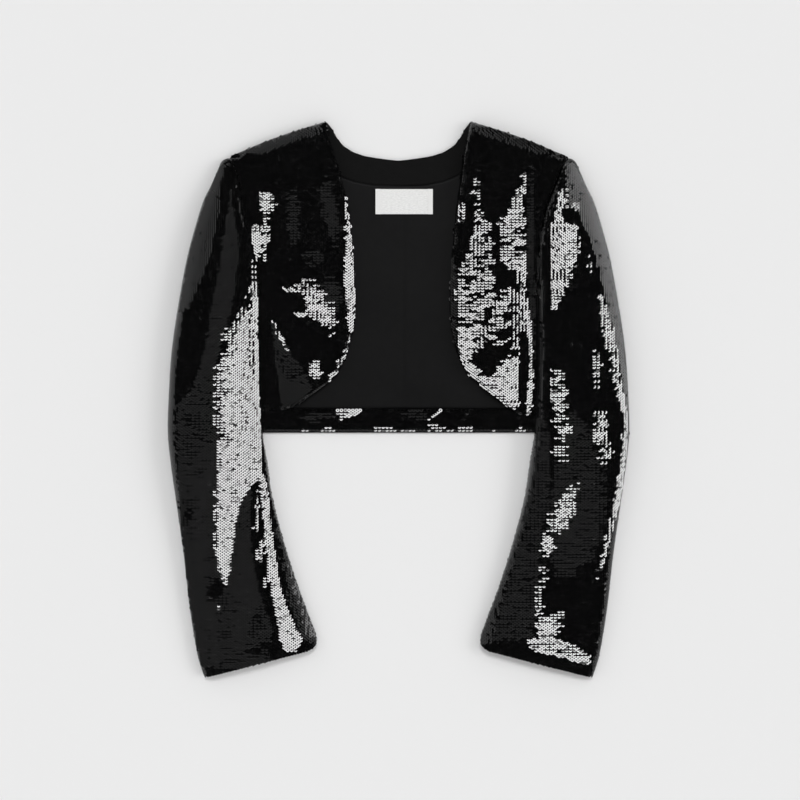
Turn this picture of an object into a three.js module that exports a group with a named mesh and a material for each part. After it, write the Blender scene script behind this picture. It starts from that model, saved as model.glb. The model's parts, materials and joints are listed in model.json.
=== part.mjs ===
// A cropped evening bolero with long sleeves, lying flat on its back with its front up.
//
// Millimetres. X runs across, Y towards the neck and Z up from the surface that it lies on, and the
// origin is under the middle of the jacket. Left and right are as seen from above, neck furthest away.
// Every x in a table is a distance from the centre line, so one table serves both sides.
//
// The back lies flat, with the lining, two facings and the label on it. Each front is a curved sheet
// over a shallow hollow, rolled down at its edge and along the shoulder seam. Each sleeve is a tube of
// two sheets, an upper and an under one, and crosses over the side of the body below the underarm.

import * as THREE from 'three';

// ---- Driving dimensions -------------------------------------------------------------------------

const WALL = 1.8; // sequinned cloth with its backing and lining
const SEAM = 0.3; // gap between two pieces that are sewn together or lie on each other
const SLEEVE_GAP = 0.4; // the same along the armhole, where the seam curves
const LINING = 1.0; // thickness of the lining, the neck facing and the label
const HEM_BAND = 1.5; // thickness of the turned-up hem band

const BODY_HALF = 200; // centre line to side seam, laid flat
const HEM_Y = -38.5; // lower edge of the body
const BACK_NECK_Y = 278.5; // lowest point of the back neckline
const BAND_TOP_Y = -11; // upper edge of the hem band
const BAND_HALF = 161; // half the hem band's length

const LABEL = { x: 6.6, y: 230.5, width: 67, height: 29.5 };

const LAP = 6.6; // underside of a sleeve where it crosses over the body
const SHELF = 5.9; // top of a front where a sleeve lies on it
const SIDE_TOP = 2 * WALL + SEAM; // top of a front at the side seam

const ROLL = { shoulder: 12, edge: 7, sleeveInner: 9, sleeveOuter: 15, cuff: 15 };
const ROLL_LIMIT = { inner: 0.25, outer: 0.5 }; // most of a sleeve's width that a roll may take
const SHELF_RUN = 26; // width over which a front comes down to its shelf
const SHELF_MARGIN = 7; // how far the shelf reaches out from under the sleeve
const LAP_RUN = { from: 196, to: 214 }; // distance out at which a sleeve comes back down to the surface
const LAP_FOOT = { from: -85, to: -43.5 }; // the same below the hem, along Y
const CUFF_AXIS = { x: 0.35, y: 1 }; // way up the sleeve at the cuff

const LEFT = { name: 'left', sign: -1 };
const RIGHT = { name: 'right', sign: 1 };

// ---- Outlines -----------------------------------------------------------------------------------

const NECK_POINT = { x: 85, y: 324 };

const NECKLINE = [
  { x: 0, y: BACK_NECK_Y },
  { x: 17.5, y: 280.5 },
  { x: 39, y: 284 },
  { x: 52.5, y: 288.5 },
  { x: 64.5, y: 296 },
  { x: 72.5, y: 306 },
  { x: 79, y: 318 },
];

const SHOULDER = [
  NECK_POINT,
  { x: 113.5, y: 315.5 },
  { x: 140.5, y: 306.5 },
  { x: 165, y: 297 },
  { x: 186, y: 287.5 },
  { x: 197.3, y: 281.5 },
];

// Armhole seam from the shoulder to the underarm, with the height of the front along it.
const ARMHOLE = [
  { y: 281.5, left: 197.3, right: 197.3, top: 4.2 },
  { y: 279.5, left: 196.2, right: 196.0, top: 6.5 },
  { y: 276, left: 194.4, right: 192.8, top: 9 },
  { y: 270, left: 191.4, right: 189.3, top: 11 },
  { y: 262, left: 188, right: 186.4, top: 12.6 },
  { y: 252, left: 185.5, right: 182.5, top: 13.6 },
  { y: 237, left: 184, right: 176, top: 14 },
  { y: 220, left: 181.5, right: 170.5, top: 14 },
  { y: 200, left: 176, right: 166.5, top: 14 },
  { y: 180, left: 170.5, right: 163.7, top: 13.7 },
  { y: 160, left: 165.5, right: 162.5, top: 12.6 },
  { y: 140, left: 163.2, right: 161.6, top: 9.5 },
  { y: 120, left: 162.8, right: 161, top: SHELF },
];
const UNDERARM_Y = ARMHOLE[ARMHOLE.length - 1].y;
const FREE_Y = 160; // below this the sleeve's inner edge turns into a fold

// Body edge below the armhole: the underarm curve, then the side seam down to the hem.
const SIDE = [
  { x: 173, y: 108 },
  { x: 186.5, y: 96 },
  { x: 196, y: 85 },
  { x: BODY_HALF, y: 75 },
  { x: BODY_HALF, y: 45 },
  { x: BODY_HALF, y: 15 },
  { x: BODY_HALF, y: -14 },
  { x: BODY_HALF, y: HEM_Y },
];

// Front edge from the neck down to where it turns along the hem, then the hem to the side seam.
const FRONT_EDGE = {
  left: [
    NECK_POINT,
    { x: 82.5, y: 315 },
    { x: 80, y: 298 },
    { x: 74.5, y: 283 },
    { x: 69, y: 267 },
    { x: 59, y: 222.5 },
    { x: 53, y: 165 },
    { x: 50.8, y: 105 },
    { x: 55.5, y: 70 },
    { x: 65.5, y: 41 },
    { x: 80, y: 20 },
    { x: 105.5, y: 1 },
  ],
  right: [
    NECK_POINT,
    { x: 80.5, y: 306.5 },
    { x: 76, y: 285 },
    { x: 73, y: 262 },
    { x: 67.5, y: 222 },
    { x: 62, y: 160 },
    { x: 60.3, y: 105 },
    { x: 63.5, y: 74.5 },
    { x: 70, y: 51.5 },
    { x: 80.5, y: 31.5 },
    { x: 94, y: 17.5 },
    { x: 106, y: 6 },
  ],
};
const FRONT_HEM = {
  left: [
    { x: 105.5, y: 1 },
    { x: 121.5, y: -9 },
    { x: 138.5, y: -14 },
    { x: 158, y: -16.5 },
    { x: 179, y: -20 },
    { x: 193, y: -27 },
    { x: BODY_HALF, y: HEM_Y },
  ],
  right: [
    { x: 106, y: 6 },
    { x: 118, y: -3.5 },
    { x: 132, y: -12 },
    { x: 149, y: -22 },
    { x: 158, y: -28 },
    { x: 176, y: -34.5 },
    { x: BODY_HALF, y: HEM_Y },
  ],
};

const SLEEVE_OUTER = [
  { y: 282, x: 198.5 },
  { y: 278.5, x: 205.5 },
  { y: 269, x: 210.5 },
  { y: 250.5, x: 218.5 },
  { y: 232, x: 227.5 },
  { y: 204, x: 236.5 },
  { y: 166.5, x: 246.5 },
  { y: 110.5, x: 257 },
  { y: 55, x: 265 },
  { y: 0, x: 268.5 },
  { y: -38.5, x: 269.5 },
  { y: -75.5, x: 266 },
  { y: -131.5, x: 258 },
  { y: -187.5, x: 250.2 },
  { y: -243.5, x: 243.8 },
  { y: -299.5, x: 234.5 },
  { y: -324, x: 227 },
];

const SLEEVE_INNER = [
  { y: 120, x: 162.8 },
  { y: 100, x: 163.6 },
  { y: 68.5, x: 163 },
  { y: 10.5, x: 161.5 },
  { y: -38.5, x: 158.5 },
  { y: -75.5, x: 153 },
  { y: -113, x: 147.5 },
  { y: -150.5, x: 138.3 },
  { y: -187.5, x: 127.5 },
  { y: -225, x: 115 },
  { y: -262, x: 101 },
  { y: -289, x: 91 },
];
const INNER_EASE_Y = 60; // above this the inner edge eases into the armhole's foot

// Lower edge of the neck facing from the centre line out, then its end below the shoulder seam.
const FACING_EDGE = [
  { x: 0, y: 249.5 },
  { x: 30, y: 250.5 },
  { x: 52, y: 254.5 },
  { x: 68, y: 260.5 },
  { x: 80, y: 269.5 },
];
const FACING_END = [
  { x: 94, y: 293 },
  { x: 90, y: 306 },
];

// Edge of the lining under the fronts, from below the shoulder down to the hem band.
const LINING_EDGE = [
  { x: 96, y: 290 },
  { x: 148, y: 272 },
  { x: 158, y: 250 },
  { x: 152, y: 200 },
  { x: 150, y: 140 },
  { x: 158, y: 108 },
  { x: 158, y: BAND_TOP_Y + SEAM },
];

// ---- Heights ------------------------------------------------------------------------------------

const FRONT = {
  left: { plateau: 12, edge: 4.1 },
  right: { plateau: 13.5, edge: 5.6 },
};
const SHOULDER_RISE = { from: 200, to: 280, lift: 2 }; // the fronts stand higher towards the shoulder

// Sections down a sleeve: y is the inner end, drop how much lower the outer end lies, and ridge the
// height of the crown. The sections at the armhole's own rows come first, and the last is the cuff.
const SLEEVE_SECTIONS = [
  { y: 279.5, drop: 0, ridge: 7 },
  { y: 276, drop: 0, ridge: 10.5 },
  { y: 270, drop: 0, ridge: 13.5 },
  { y: 262, drop: 0, ridge: 16.5 },
  { y: 252, drop: 0, ridge: 19 },
  { y: 237, drop: 0, ridge: 21.5 },
  { y: 220, drop: 0, ridge: 23.5 },
  { y: 200, drop: 0, ridge: 25 },
  { y: 180, drop: 0, ridge: 26 },
  { y: 160, drop: 0, ridge: 26.5 },
  { y: 140, drop: 0, ridge: 27 },
  { y: 120, drop: 0, ridge: 27 },
  { y: 100, drop: 0, ridge: 27 },
  { y: 68, drop: 0, ridge: 26.5 },
  { y: 20, drop: 0, ridge: 26 },
  { y: -20, drop: 1, ridge: 26 },
  { y: -44, drop: 3, ridge: 26 },
  { y: -65, drop: 6, ridge: 25.5 },
  { y: -90, drop: 10, ridge: 24.5 },
  { y: -125, drop: 16, ridge: 22.5 },
  { y: -165, drop: 23, ridge: 20 },
  { y: -205, drop: 29, ridge: 18 },
  { y: -248, drop: 35, ridge: 16.5 },
  { y: -289, drop: 35, ridge: 15.5 },
];

// The under sleeve is one piece of cloth in two solids, which meet where it starts to rise over the
// body, so that each of them is almost flat.
const CAP_SECTIONS = SLEEVE_SECTIONS.filter(({ y }) => y >= FREE_Y);
const LOWER_SECTIONS = [
  { y: FREE_Y - 2 * SEAM, drop: 0, ridge: 26.5 },
  ...SLEEVE_SECTIONS.filter(({ y }) => y < FREE_Y),
];

// How a sleeve's crown lies: where its ridge is, from the inner edge (0) to the outer (1), and the
// height beside each rolled edge as a share of the ridge.
const CROWN = {
  left: { at: 0.6, inner: 0.66, outer: 0.86 },
  right: { at: 0.42, inner: 0.82, outer: 0.84 },
};

// The largest folds: middle, direction from +X, half length, half width and lift (troughs negative).
const FOLDS = {
  front_left: [
    { x: -104, y: 100, turn: 120, long: 60, wide: 15, lift: 2.6 },
    { x: -124, y: 205, turn: 80, long: 55, wide: 12, lift: -1.4 },
  ],
  front_right: [
    { x: 118, y: 95, turn: 70, long: 60, wide: 17, lift: 2.2 },
    { x: 96, y: 215, turn: 96, long: 55, wide: 12, lift: -1.4 },
  ],
  sleeve_left: [
    { x: -146, y: -150, turn: 106, long: 85, wide: 9, lift: -3.4 },
    { x: -226, y: -60, turn: 82, long: 70, wide: 12, lift: -2.4 },
    { x: -214, y: 120, turn: 75, long: 70, wide: 13, lift: 2 },
  ],
  sleeve_right: [
    { x: 196, y: 90, turn: 112, long: 75, wide: 12, lift: -3 },
    { x: 196, y: -125, turn: 72, long: 70, wide: 11, lift: -2.8 },
    { x: 226, y: -20, turn: 96, long: 60, wide: 11, lift: 2 },
  ],
};

// ---- Sampling -----------------------------------------------------------------------------------

const ROLL_STEPS = 3; // facets round a rolled edge
const HEM_ROLL_END = ROLL_STEPS + 6; // last column of a front that is rolled down along the hem
const FOLD_FADE = 0.2; // share of a sleeve's width beside each edge over which its folds fade
const FRONT_SHARES = [0.14, 0.26, 0.4, 0.54, 0.66, 0.76, 0.84, 0.92, 1];
const CROWN_SHARES = [0.2, 0.4, 0.6, 0.8];
const UNDER_SHARES = [0, 0.02, 0.07, 0.2, 0.36, 0.44, 0.52, 0.75, 1];

// ---- Arithmetic ---------------------------------------------------------------------------------

const mix = (from, to, share) => from + (to - from) * share;
const clamp = THREE.MathUtils.clamp;
const smooth = (value, from, to) => THREE.MathUtils.smoothstep(value, from, to);
const quarter = (share) => Math.sqrt(1 - (1 - clamp(share, 0, 1)) ** 2);

/** Reads a column of a table at y, with a smooth curve through its rows. Its y values fall. */
function readAt(rows, column, y) {
  const last = rows.length - 1;
  const found = rows.findIndex((row, k) => k > 0 && row.y <= y);
  const k = found < 0 ? last : Math.max(1, found);
  const [above, below] = [rows[k - 1], rows[k]];
  const slope = (i) => {
    const [before, after] = [rows[Math.max(0, i - 1)], rows[Math.min(last, i + 1)]];
    return (after[column] - before[column]) / (after.y - before.y);
  };
  const run = below.y - above.y;
  const share = clamp((y - above.y) / run, 0, 1);
  const bend = share * (1 - share) * run;
  const chord = mix(above[column], below[column], share * share * (3 - 2 * share));
  return chord + bend * ((1 - share) * slope(k - 1) - share * slope(k));
}

/** Reads a column of a table at y, straight between its rows. */
function readStraight(rows, column, y) {
  const found = rows.findIndex((row, k) => k > 0 && row.y <= y);
  const k = found < 0 ? rows.length - 1 : found;
  const [above, below] = [rows[k - 1], rows[k]];
  return mix(above[column], below[column], clamp((y - above.y) / (below.y - above.y), 0, 1));
}

const planPoints = (rows) => rows.map(({ x, y }) => new THREE.Vector2(x, y));
const curveThrough = (rows) => new THREE.SplineCurve(planPoints(rows));

/** Shortest distance in plan from a point to a run of points. */
function distanceTo(run, x, y) {
  const point = new THREE.Vector3(x, y, 0);
  const nearest = new THREE.Vector3();
  let least = Infinity;
  for (let k = 1; k < run.length; k += 1) {
    const [a, b] = [run[k - 1], run[k]];
    const piece = new THREE.Line3(new THREE.Vector3(a.x, a.y, 0), new THREE.Vector3(b.x, b.y, 0));
    piece.closestPointToPoint(point, true, nearest);
    least = Math.min(least, nearest.distanceTo(point));
  }
  return least;
}

/** Sum of the folds at a point, each a soft ridge or trough that fades along its length. */
function foldLift(folds, x, y) {
  return folds.reduce((sum, { x: fx, y: fy, turn, long, wide, lift }) => {
    const angle = THREE.MathUtils.degToRad(turn);
    const [dx, dy] = [x - fx, y - fy];
    const along = (dx * Math.cos(angle) + dy * Math.sin(angle)) / long;
    const across = (dy * Math.cos(angle) - dx * Math.sin(angle)) / wide;
    return sum + lift * Math.exp(-(along ** 2) - across ** 2);
  }, 0);
}

// ---- Solids from sheets ---------------------------------------------------------------------------

/** A point past a border: mirrored where the sheet is rolled down there, else straight on. */
function ghost(border, inside, rolled) {
  return new THREE.Vector3(
    mix(2 * border.x - inside.x, inside.x, rolled),
    mix(2 * border.y - inside.y, inside.y, rolled),
    2 * border.z - inside.z,
  );
}

/**
 * Turns a grid of points on a sheet's outer face into a closed sheet. The wall goes to the side that
 * inward gives: -1 below the face, 1 above it. rolled says how far each border is rolled down.
 */
function sheetGeometry(grid, inward, rolled) {
  const [rows, columns] = [grid.length, grid[0].length];
  const at = (i, j) => {
    if (j < 0) return ghost(grid[i][0], grid[i][1], rolled.start(i));
    if (j >= columns) return ghost(grid[i][columns - 1], grid[i][columns - 2], rolled.end(i));
    if (i < 0) return ghost(grid[0][j], grid[1][j], rolled.first(j));
    if (i >= rows) return ghost(grid[rows - 1][j], grid[rows - 2][j], rolled.last(j));
    return grid[i][j];
  };
  const normalAt = (i, j) => {
    const across = at(i, j + 1).clone().sub(at(i, j - 1));
    const along = at(i + 1, j).clone().sub(at(i - 1, j));
    return across.cross(along).normalize();
  };
  const facing = Math.sign(normalAt(Math.floor(rows / 2), Math.floor(columns / 2)).z);
  const inner = grid.map((row, i) => row.map((point, j) => (
    point.clone().addScaledVector(normalAt(i, j), facing * inward * WALL)
  )));

  const points = [...grid.flat(), ...inner.flat()];
  const outerFace = (i, j) => i * columns + j;
  const innerFace = (i, j) => rows * columns + i * columns + j;
  const triangles = [];
  const quad = (a, b, c, d) => triangles.push(a, b, c, a, c, d);
  for (let i = 0; i < rows - 1; i += 1) {
    for (let j = 0; j < columns - 1; j += 1) {
      quad(outerFace(i, j), outerFace(i, j + 1), outerFace(i + 1, j + 1), outerFace(i + 1, j));
      quad(innerFace(i, j), innerFace(i + 1, j), innerFace(i + 1, j + 1), innerFace(i, j + 1));
    }
    quad(outerFace(i, 0), outerFace(i + 1, 0), innerFace(i + 1, 0), innerFace(i, 0));
    const end = columns - 1;
    quad(outerFace(i + 1, end), outerFace(i, end), innerFace(i, end), innerFace(i + 1, end));
  }
  for (let j = 0; j < columns - 1; j += 1) {
    quad(outerFace(0, j + 1), outerFace(0, j), innerFace(0, j), innerFace(0, j + 1));
    const foot = rows - 1;
    quad(outerFace(foot, j), outerFace(foot, j + 1), innerFace(foot, j + 1), innerFace(foot, j));
  }
  return outwardGeometry(points, triangles);
}

/** An indexed geometry whose faces point outwards, whichever way round its grid was. */
function outwardGeometry(points, triangles) {
  let volume = 0;
  for (let k = 0; k < triangles.length; k += 3) {
    const [a, b, c] = [points[triangles[k]], points[triangles[k + 1]], points[triangles[k + 2]]];
    volume += a.dot(b.clone().cross(c));
  }
  const index = volume < 0 ? triangles.slice().reverse() : triangles;
  const geometry = new THREE.BufferGeometry().setFromPoints(points);
  geometry.setIndex(index);
  geometry.computeVertexNormals();
  return geometry;
}

/** A flat piece of even thickness, cut to an outline of x, y points. */
function flatGeometry(outline, bottom, thickness) {
  const shape = new THREE.Shape(outline.map(({ x, y }) => new THREE.Vector2(x, y)));
  const geometry = new THREE.ExtrudeGeometry(shape, { depth: thickness, bevelEnabled: false });
  geometry.translate(0, 0, bottom);
  return geometry;
}

const mirrored = (run) => run.map(({ x, y }) => ({ x: -x, y })).reverse();

// ---- Body -----------------------------------------------------------------------------------------

/** Half of the back's outline, from the middle of the neckline round to the side's lower end. */
function backHalf(side) {
  const neck = curveThrough([...NECKLINE, NECK_POINT]).getSpacedPoints(14);
  const shoulder = planPoints(SHOULDER).slice(1, -1);
  const armhole = ARMHOLE.map((row) => ({ x: row[side.name], y: row.y }));
  return [...neck, ...shoulder, ...armhole, ...SIDE];
}

function backPanel() {
  const [right, left] = [backHalf(RIGHT), mirrored(backHalf(LEFT))];
  return flatGeometry([...right, ...left.slice(0, -1)], 0, WALL);
}

/** The lining runs from the facing's lower edge, down under the fronts, to the hem band. */
function backLining() {
  const half = [...FACING_EDGE.map(({ x, y }) => ({ x, y: y - SEAM })), ...LINING_EDGE];
  return flatGeometry([...half, ...mirrored(half).slice(0, -1)], WALL + SEAM, LINING);
}

function neckFacing() {
  const upper = curveThrough([...NECKLINE, NECK_POINT]).getSpacedPoints(14);
  const inset = upper.slice(0, -1).map(({ x, y }) => ({ x, y: y - SEAM }));
  const half = [...inset, ...[...FACING_EDGE, ...FACING_END].reverse()];
  return flatGeometry([...half, ...mirrored(half).slice(1, -1)], WALL + SEAM, LINING);
}

function hemBand() {
  const [lower, upper] = [HEM_Y, BAND_TOP_Y];
  const outline = [
    { x: -BAND_HALF, y: lower },
    { x: BAND_HALF, y: lower },
    { x: BAND_HALF, y: upper },
    { x: -BAND_HALF, y: upper },
  ];
  return flatGeometry(outline, WALL + SEAM, HEM_BAND);
}

function neckLabel() {
  const { x, y, width, height } = LABEL;
  const outline = [
    { x: x - width / 2, y: y - height / 2 },
    { x: x + width / 2, y: y - height / 2 },
    { x: x + width / 2, y: y + height / 2 },
    { x: x - width / 2, y: y + height / 2 },
  ];
  return flatGeometry(outline, WALL + LINING + 2 * SEAM, LINING);
}

// ---- Fronts ---------------------------------------------------------------------------------------

/** Height of a front's face: a plateau, rolled down at its free edges, lower beside the sleeve. */
function frontTop(side, x, y, edges) {
  const { plateau, edge } = FRONT[side.name];
  const { from, to, lift } = SHOULDER_RISE;
  const folded = foldLift(FOLDS[`front_${side.name}`], side.sign * x, y);
  const flat = plateau + lift * smooth(y, from, to) + folded;
  const turned = mix(edge, flat, quarter(distanceTo(edges.free, x, y) / ROLL.edge));
  const base = WALL + SEAM;
  const rolled = mix(base, turned, quarter(distanceTo(edges.shoulder, x, y) / ROLL.shoulder));
  const inArmhole = y >= UNDERARM_Y;
  const seam = inArmhole ? readStraight(ARMHOLE, side.name, y) : readAt(SLEEVE_INNER, 'x', y);
  const shelfX = seam - SHELF_MARGIN * (1 - smooth(y, UNDERARM_Y, FREE_Y));
  const shelfTop = inArmhole ? readStraight(ARMHOLE, 'top', y) : SHELF;
  if (x < shelfX || inArmhole) return mix(rolled, shelfTop, smooth(x, shelfX - SHELF_RUN, shelfX));
  return mix(SHELF, SIDE_TOP, (x - shelfX) / (BODY_HALF - shelfX));
}

/** A front: a patch between its shoulder, armhole and side, hem and free edge. */
function frontGeometry(side) {
  const shoulder = curveThrough(SHOULDER);
  const hem = curveThrough(FRONT_HEM[side.name]);
  const edge = curveThrough(FRONT_EDGE[side.name]);
  const outer = [...ARMHOLE.map((row) => ({ x: row[side.name], y: row.y })), ...SIDE];
  const edges = {
    free: [...edge.getSpacedPoints(60), ...hem.getSpacedPoints(20)],
    shoulder: shoulder.getSpacedPoints(20),
  };
  const run = [0];
  outer.slice(1).forEach((point, k) => {
    run.push(run[k] + Math.hypot(point.x - outer[k].x, point.y - outer[k].y));
  });

  const grid = outer.map((outerPoint, i) => {
    const down = run[i] / run[run.length - 1];
    const innerPoint = edge.getPointAt(down);
    const width = Math.hypot(outerPoint.x - innerPoint.x, outerPoint.y - innerPoint.y);
    const rolls = Array.from({ length: ROLL_STEPS + 1 }, (_, k) => {
      const angle = (k * Math.PI) / 2 / ROLL_STEPS;
      return (ROLL.edge * (1 - Math.cos(angle))) / width;
    });
    return [...rolls, ...FRONT_SHARES].map((across) => {
      const [upper, lower] = [shoulder.getPointAt(across), hem.getPointAt(across)];
      const patch = (axis) => {
        const ruled = mix(innerPoint[axis], outerPoint[axis], across) + mix(upper[axis], lower[axis], down);
        const corners = mix(
          mix(SHOULDER[0][axis], SHOULDER[SHOULDER.length - 1][axis], across),
          mix(edge.points[edge.points.length - 1][axis], outer[outer.length - 1][axis], across),
          down,
        );
        return ruled - corners;
      };
      const [x, y] = [patch('x'), patch('y')];
      return new THREE.Vector3(side.sign * x, y, frontTop(side, x, y, edges));
    });
  });
  return sheetGeometry(grid, -1, {
    start: () => 1,
    end: () => 0,
    first: (j) => (j === 0 ? 0 : 1),
    last: (j) => (j === 0 || j > HEM_ROLL_END ? 0 : 1),
  });
}

// ---- Sleeves --------------------------------------------------------------------------------------

/** Height of a sleeve's underside: flat on the surface, but lifted where the body lies under it. */
function lapHeight(x, y) {
  const down = 1 - smooth(y, UNDERARM_Y, FREE_Y);
  const past = smooth(y, LAP_FOOT.from, LAP_FOOT.to);
  const out = 1 - smooth(x, LAP_RUN.from, LAP_RUN.to);
  return LAP * down * past * out;
}

/** The two ends of a section, inner and outer, in plan. */
function sectionEnds(side, section) {
  const inner = section.y >= UNDERARM_Y
    ? readStraight(ARMHOLE, side.name, section.y)
    : mix(
      readAt(SLEEVE_INNER, 'x', section.y),
      readStraight(ARMHOLE, side.name, UNDERARM_Y),
      smooth(section.y, INNER_EASE_Y, UNDERARM_Y),
    );
  const outerY = section.y - section.drop;
  return [
    new THREE.Vector2(inner + SLEEVE_GAP, section.y),
    new THREE.Vector2(readAt(SLEEVE_OUTER, 'x', outerY), outerY),
  ];
}

/** How far the cuff's edge draws back beside the inner fold. */
const cuffRetreat = (reach) => ROLL.cuff * (1 - quarter(reach / ROLL.cuff));

function sleevePoint(side, section, across) {
  const [inner, outer] = sectionEnds(side, section);
  const point = inner.clone().lerp(outer, across);
  const isCuff = section === SLEEVE_SECTIONS[SLEEVE_SECTIONS.length - 1];
  if (isCuff) {
    const back = cuffRetreat(inner.distanceTo(outer) * across);
    point.add(new THREE.Vector2(CUFF_AXIS.x, CUFF_AXIS.y).normalize().multiplyScalar(back));
  }
  return point;
}

/** Height of the crown across a section, without its rolled edges. */
function crownHeight(side, section, across, innerTop) {
  const { at, inner, outer } = CROWN[side.name];
  const head = section.ridge;
  const start = mix(head * inner, innerTop, smooth(section.y, UNDERARM_Y, FREE_Y));
  if (across < at) return mix(start, head, Math.sin((Math.PI / 2) * (across / at)));
  return mix(head * outer, head, Math.cos((Math.PI / 2) * ((across - at) / (1 - at))));
}

function sleeveTopGeometry(side) {
  const folds = FOLDS[`sleeve_${side.name}`];
  const grid = SLEEVE_SECTIONS.map((section) => {
    const [inner, outer] = sectionEnds(side, section);
    const width = inner.distanceTo(outer);
    const radius = {
      inner: Math.min(ROLL.sleeveInner, ROLL_LIMIT.inner * width),
      outer: Math.min(ROLL.sleeveOuter, ROLL_LIMIT.outer * width),
    };
    const angles = Array.from({ length: ROLL_STEPS + 1 }, (_, k) => (k * Math.PI) / 2 / ROLL_STEPS);
    const start = angles.map((angle) => (radius.inner * (1 - Math.cos(angle))) / width);
    const end = angles.map((angle) => 1 - (radius.outer * (1 - Math.cos(angle))) / width).reverse();
    const between = CROWN_SHARES.map((share) => mix(start[ROLL_STEPS], end[0], share));

    const free = 1 - smooth(section.y, UNDERARM_Y, FREE_Y);
    const innerTop = section.y >= UNDERARM_Y ? readStraight(ARMHOLE, 'top', section.y) : SHELF;
    return [...start, ...between, ...end].map((across) => {
      const { x, y } = sleevePoint(side, section, across);
      const crown = crownHeight(side, section, across, innerTop) + foldLift(folds, side.sign * x, y)
        * smooth(Math.min(across, 1 - across), 0, FOLD_FADE);
      const base = WALL + SEAM;
      const innerRoll = quarter((across * width) / radius.inner);
      const outerRoll = quarter(((1 - across) * width) / radius.outer);
      const turned = mix(crown, mix(lapHeight(x, y) + base, crown, innerRoll), free);
      return new THREE.Vector3(side.sign * x, y, mix(base, turned, outerRoll));
    });
  });
  return sheetGeometry(grid, -1, {
    start: (i) => 1 - smooth(SLEEVE_SECTIONS[i].y, UNDERARM_Y, FREE_Y),
    end: () => 1,
    first: () => 0,
    last: () => 0,
  });
}

function sleeveUnderGeometry(side, sections) {
  const grid = sections.map((section) => UNDER_SHARES.map((across) => {
    const { x, y } = sleevePoint(side, section, across);
    return new THREE.Vector3(side.sign * x, y, lapHeight(x, y));
  }));
  return sheetGeometry(grid, 1, { start: () => 0, end: () => 0, first: () => 0, last: () => 0 });
}

// ---- The jacket -----------------------------------------------------------------------------------

const SEQUINS = new THREE.MeshStandardMaterial({ color: 0x0d0d0e, roughness: 0.22, metalness: 0.7 });
const SATIN = new THREE.MeshStandardMaterial({ color: 0x1c1c1d, roughness: 0.6, metalness: 0 });
const CREPE = new THREE.MeshStandardMaterial({ color: 0x131314, roughness: 0.85, metalness: 0 });
const WOVEN = new THREE.MeshStandardMaterial({ color: 0xf0f0ee, roughness: 0.7, metalness: 0 });

const jacket = new THREE.Group();

function addPiece(name, geometry, material) {
  const piece = new THREE.Mesh(geometry, material);
  piece.name = name;
  jacket.add(piece);
}

addPiece('back_panel', backPanel(), SEQUINS);
addPiece('back_lining', backLining(), SATIN);
addPiece('back_neck_facing', neckFacing(), CREPE);
addPiece('back_hem_facing', hemBand(), SEQUINS);
addPiece('neck_label', neckLabel(), WOVEN);
for (const side of [LEFT, RIGHT]) {
  addPiece(`front_${side.name}`, frontGeometry(side), SEQUINS);
  addPiece(`sleeve_top_${side.name}`, sleeveTopGeometry(side), SEQUINS);
  addPiece(`sleeve_under_cap_${side.name}`, sleeveUnderGeometry(side, CAP_SECTIONS), SEQUINS);
  addPiece(`sleeve_under_${side.name}`, sleeveUnderGeometry(side, LOWER_SECTIONS), SEQUINS);
}

export default jacket;
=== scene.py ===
"""Looks of a cropped evening bolero with long sleeves, lying flat on its back.

The jacket is thin cloth covered all over in small flat black sequins. Each panel of cloth is a shell,
and its sequins are one mesh, laid in straight rows that wrap round the rolled edges. Every sequin is a
flat mirror, so how it lies decides whether it shows black, dim or bright.

Sizes are in millimetres and angles in degrees; meshes are written in metres. X runs across, Y towards
the neck and Z up from the surface. Left and right are as seen from above, neck furthest away. In the
tables, x is the distance from the centre line, and y falls from row to row.
"""

import json
import logging
import math
from abc import ABC, abstractmethod
from dataclasses import dataclass
from enum import Enum

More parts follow.
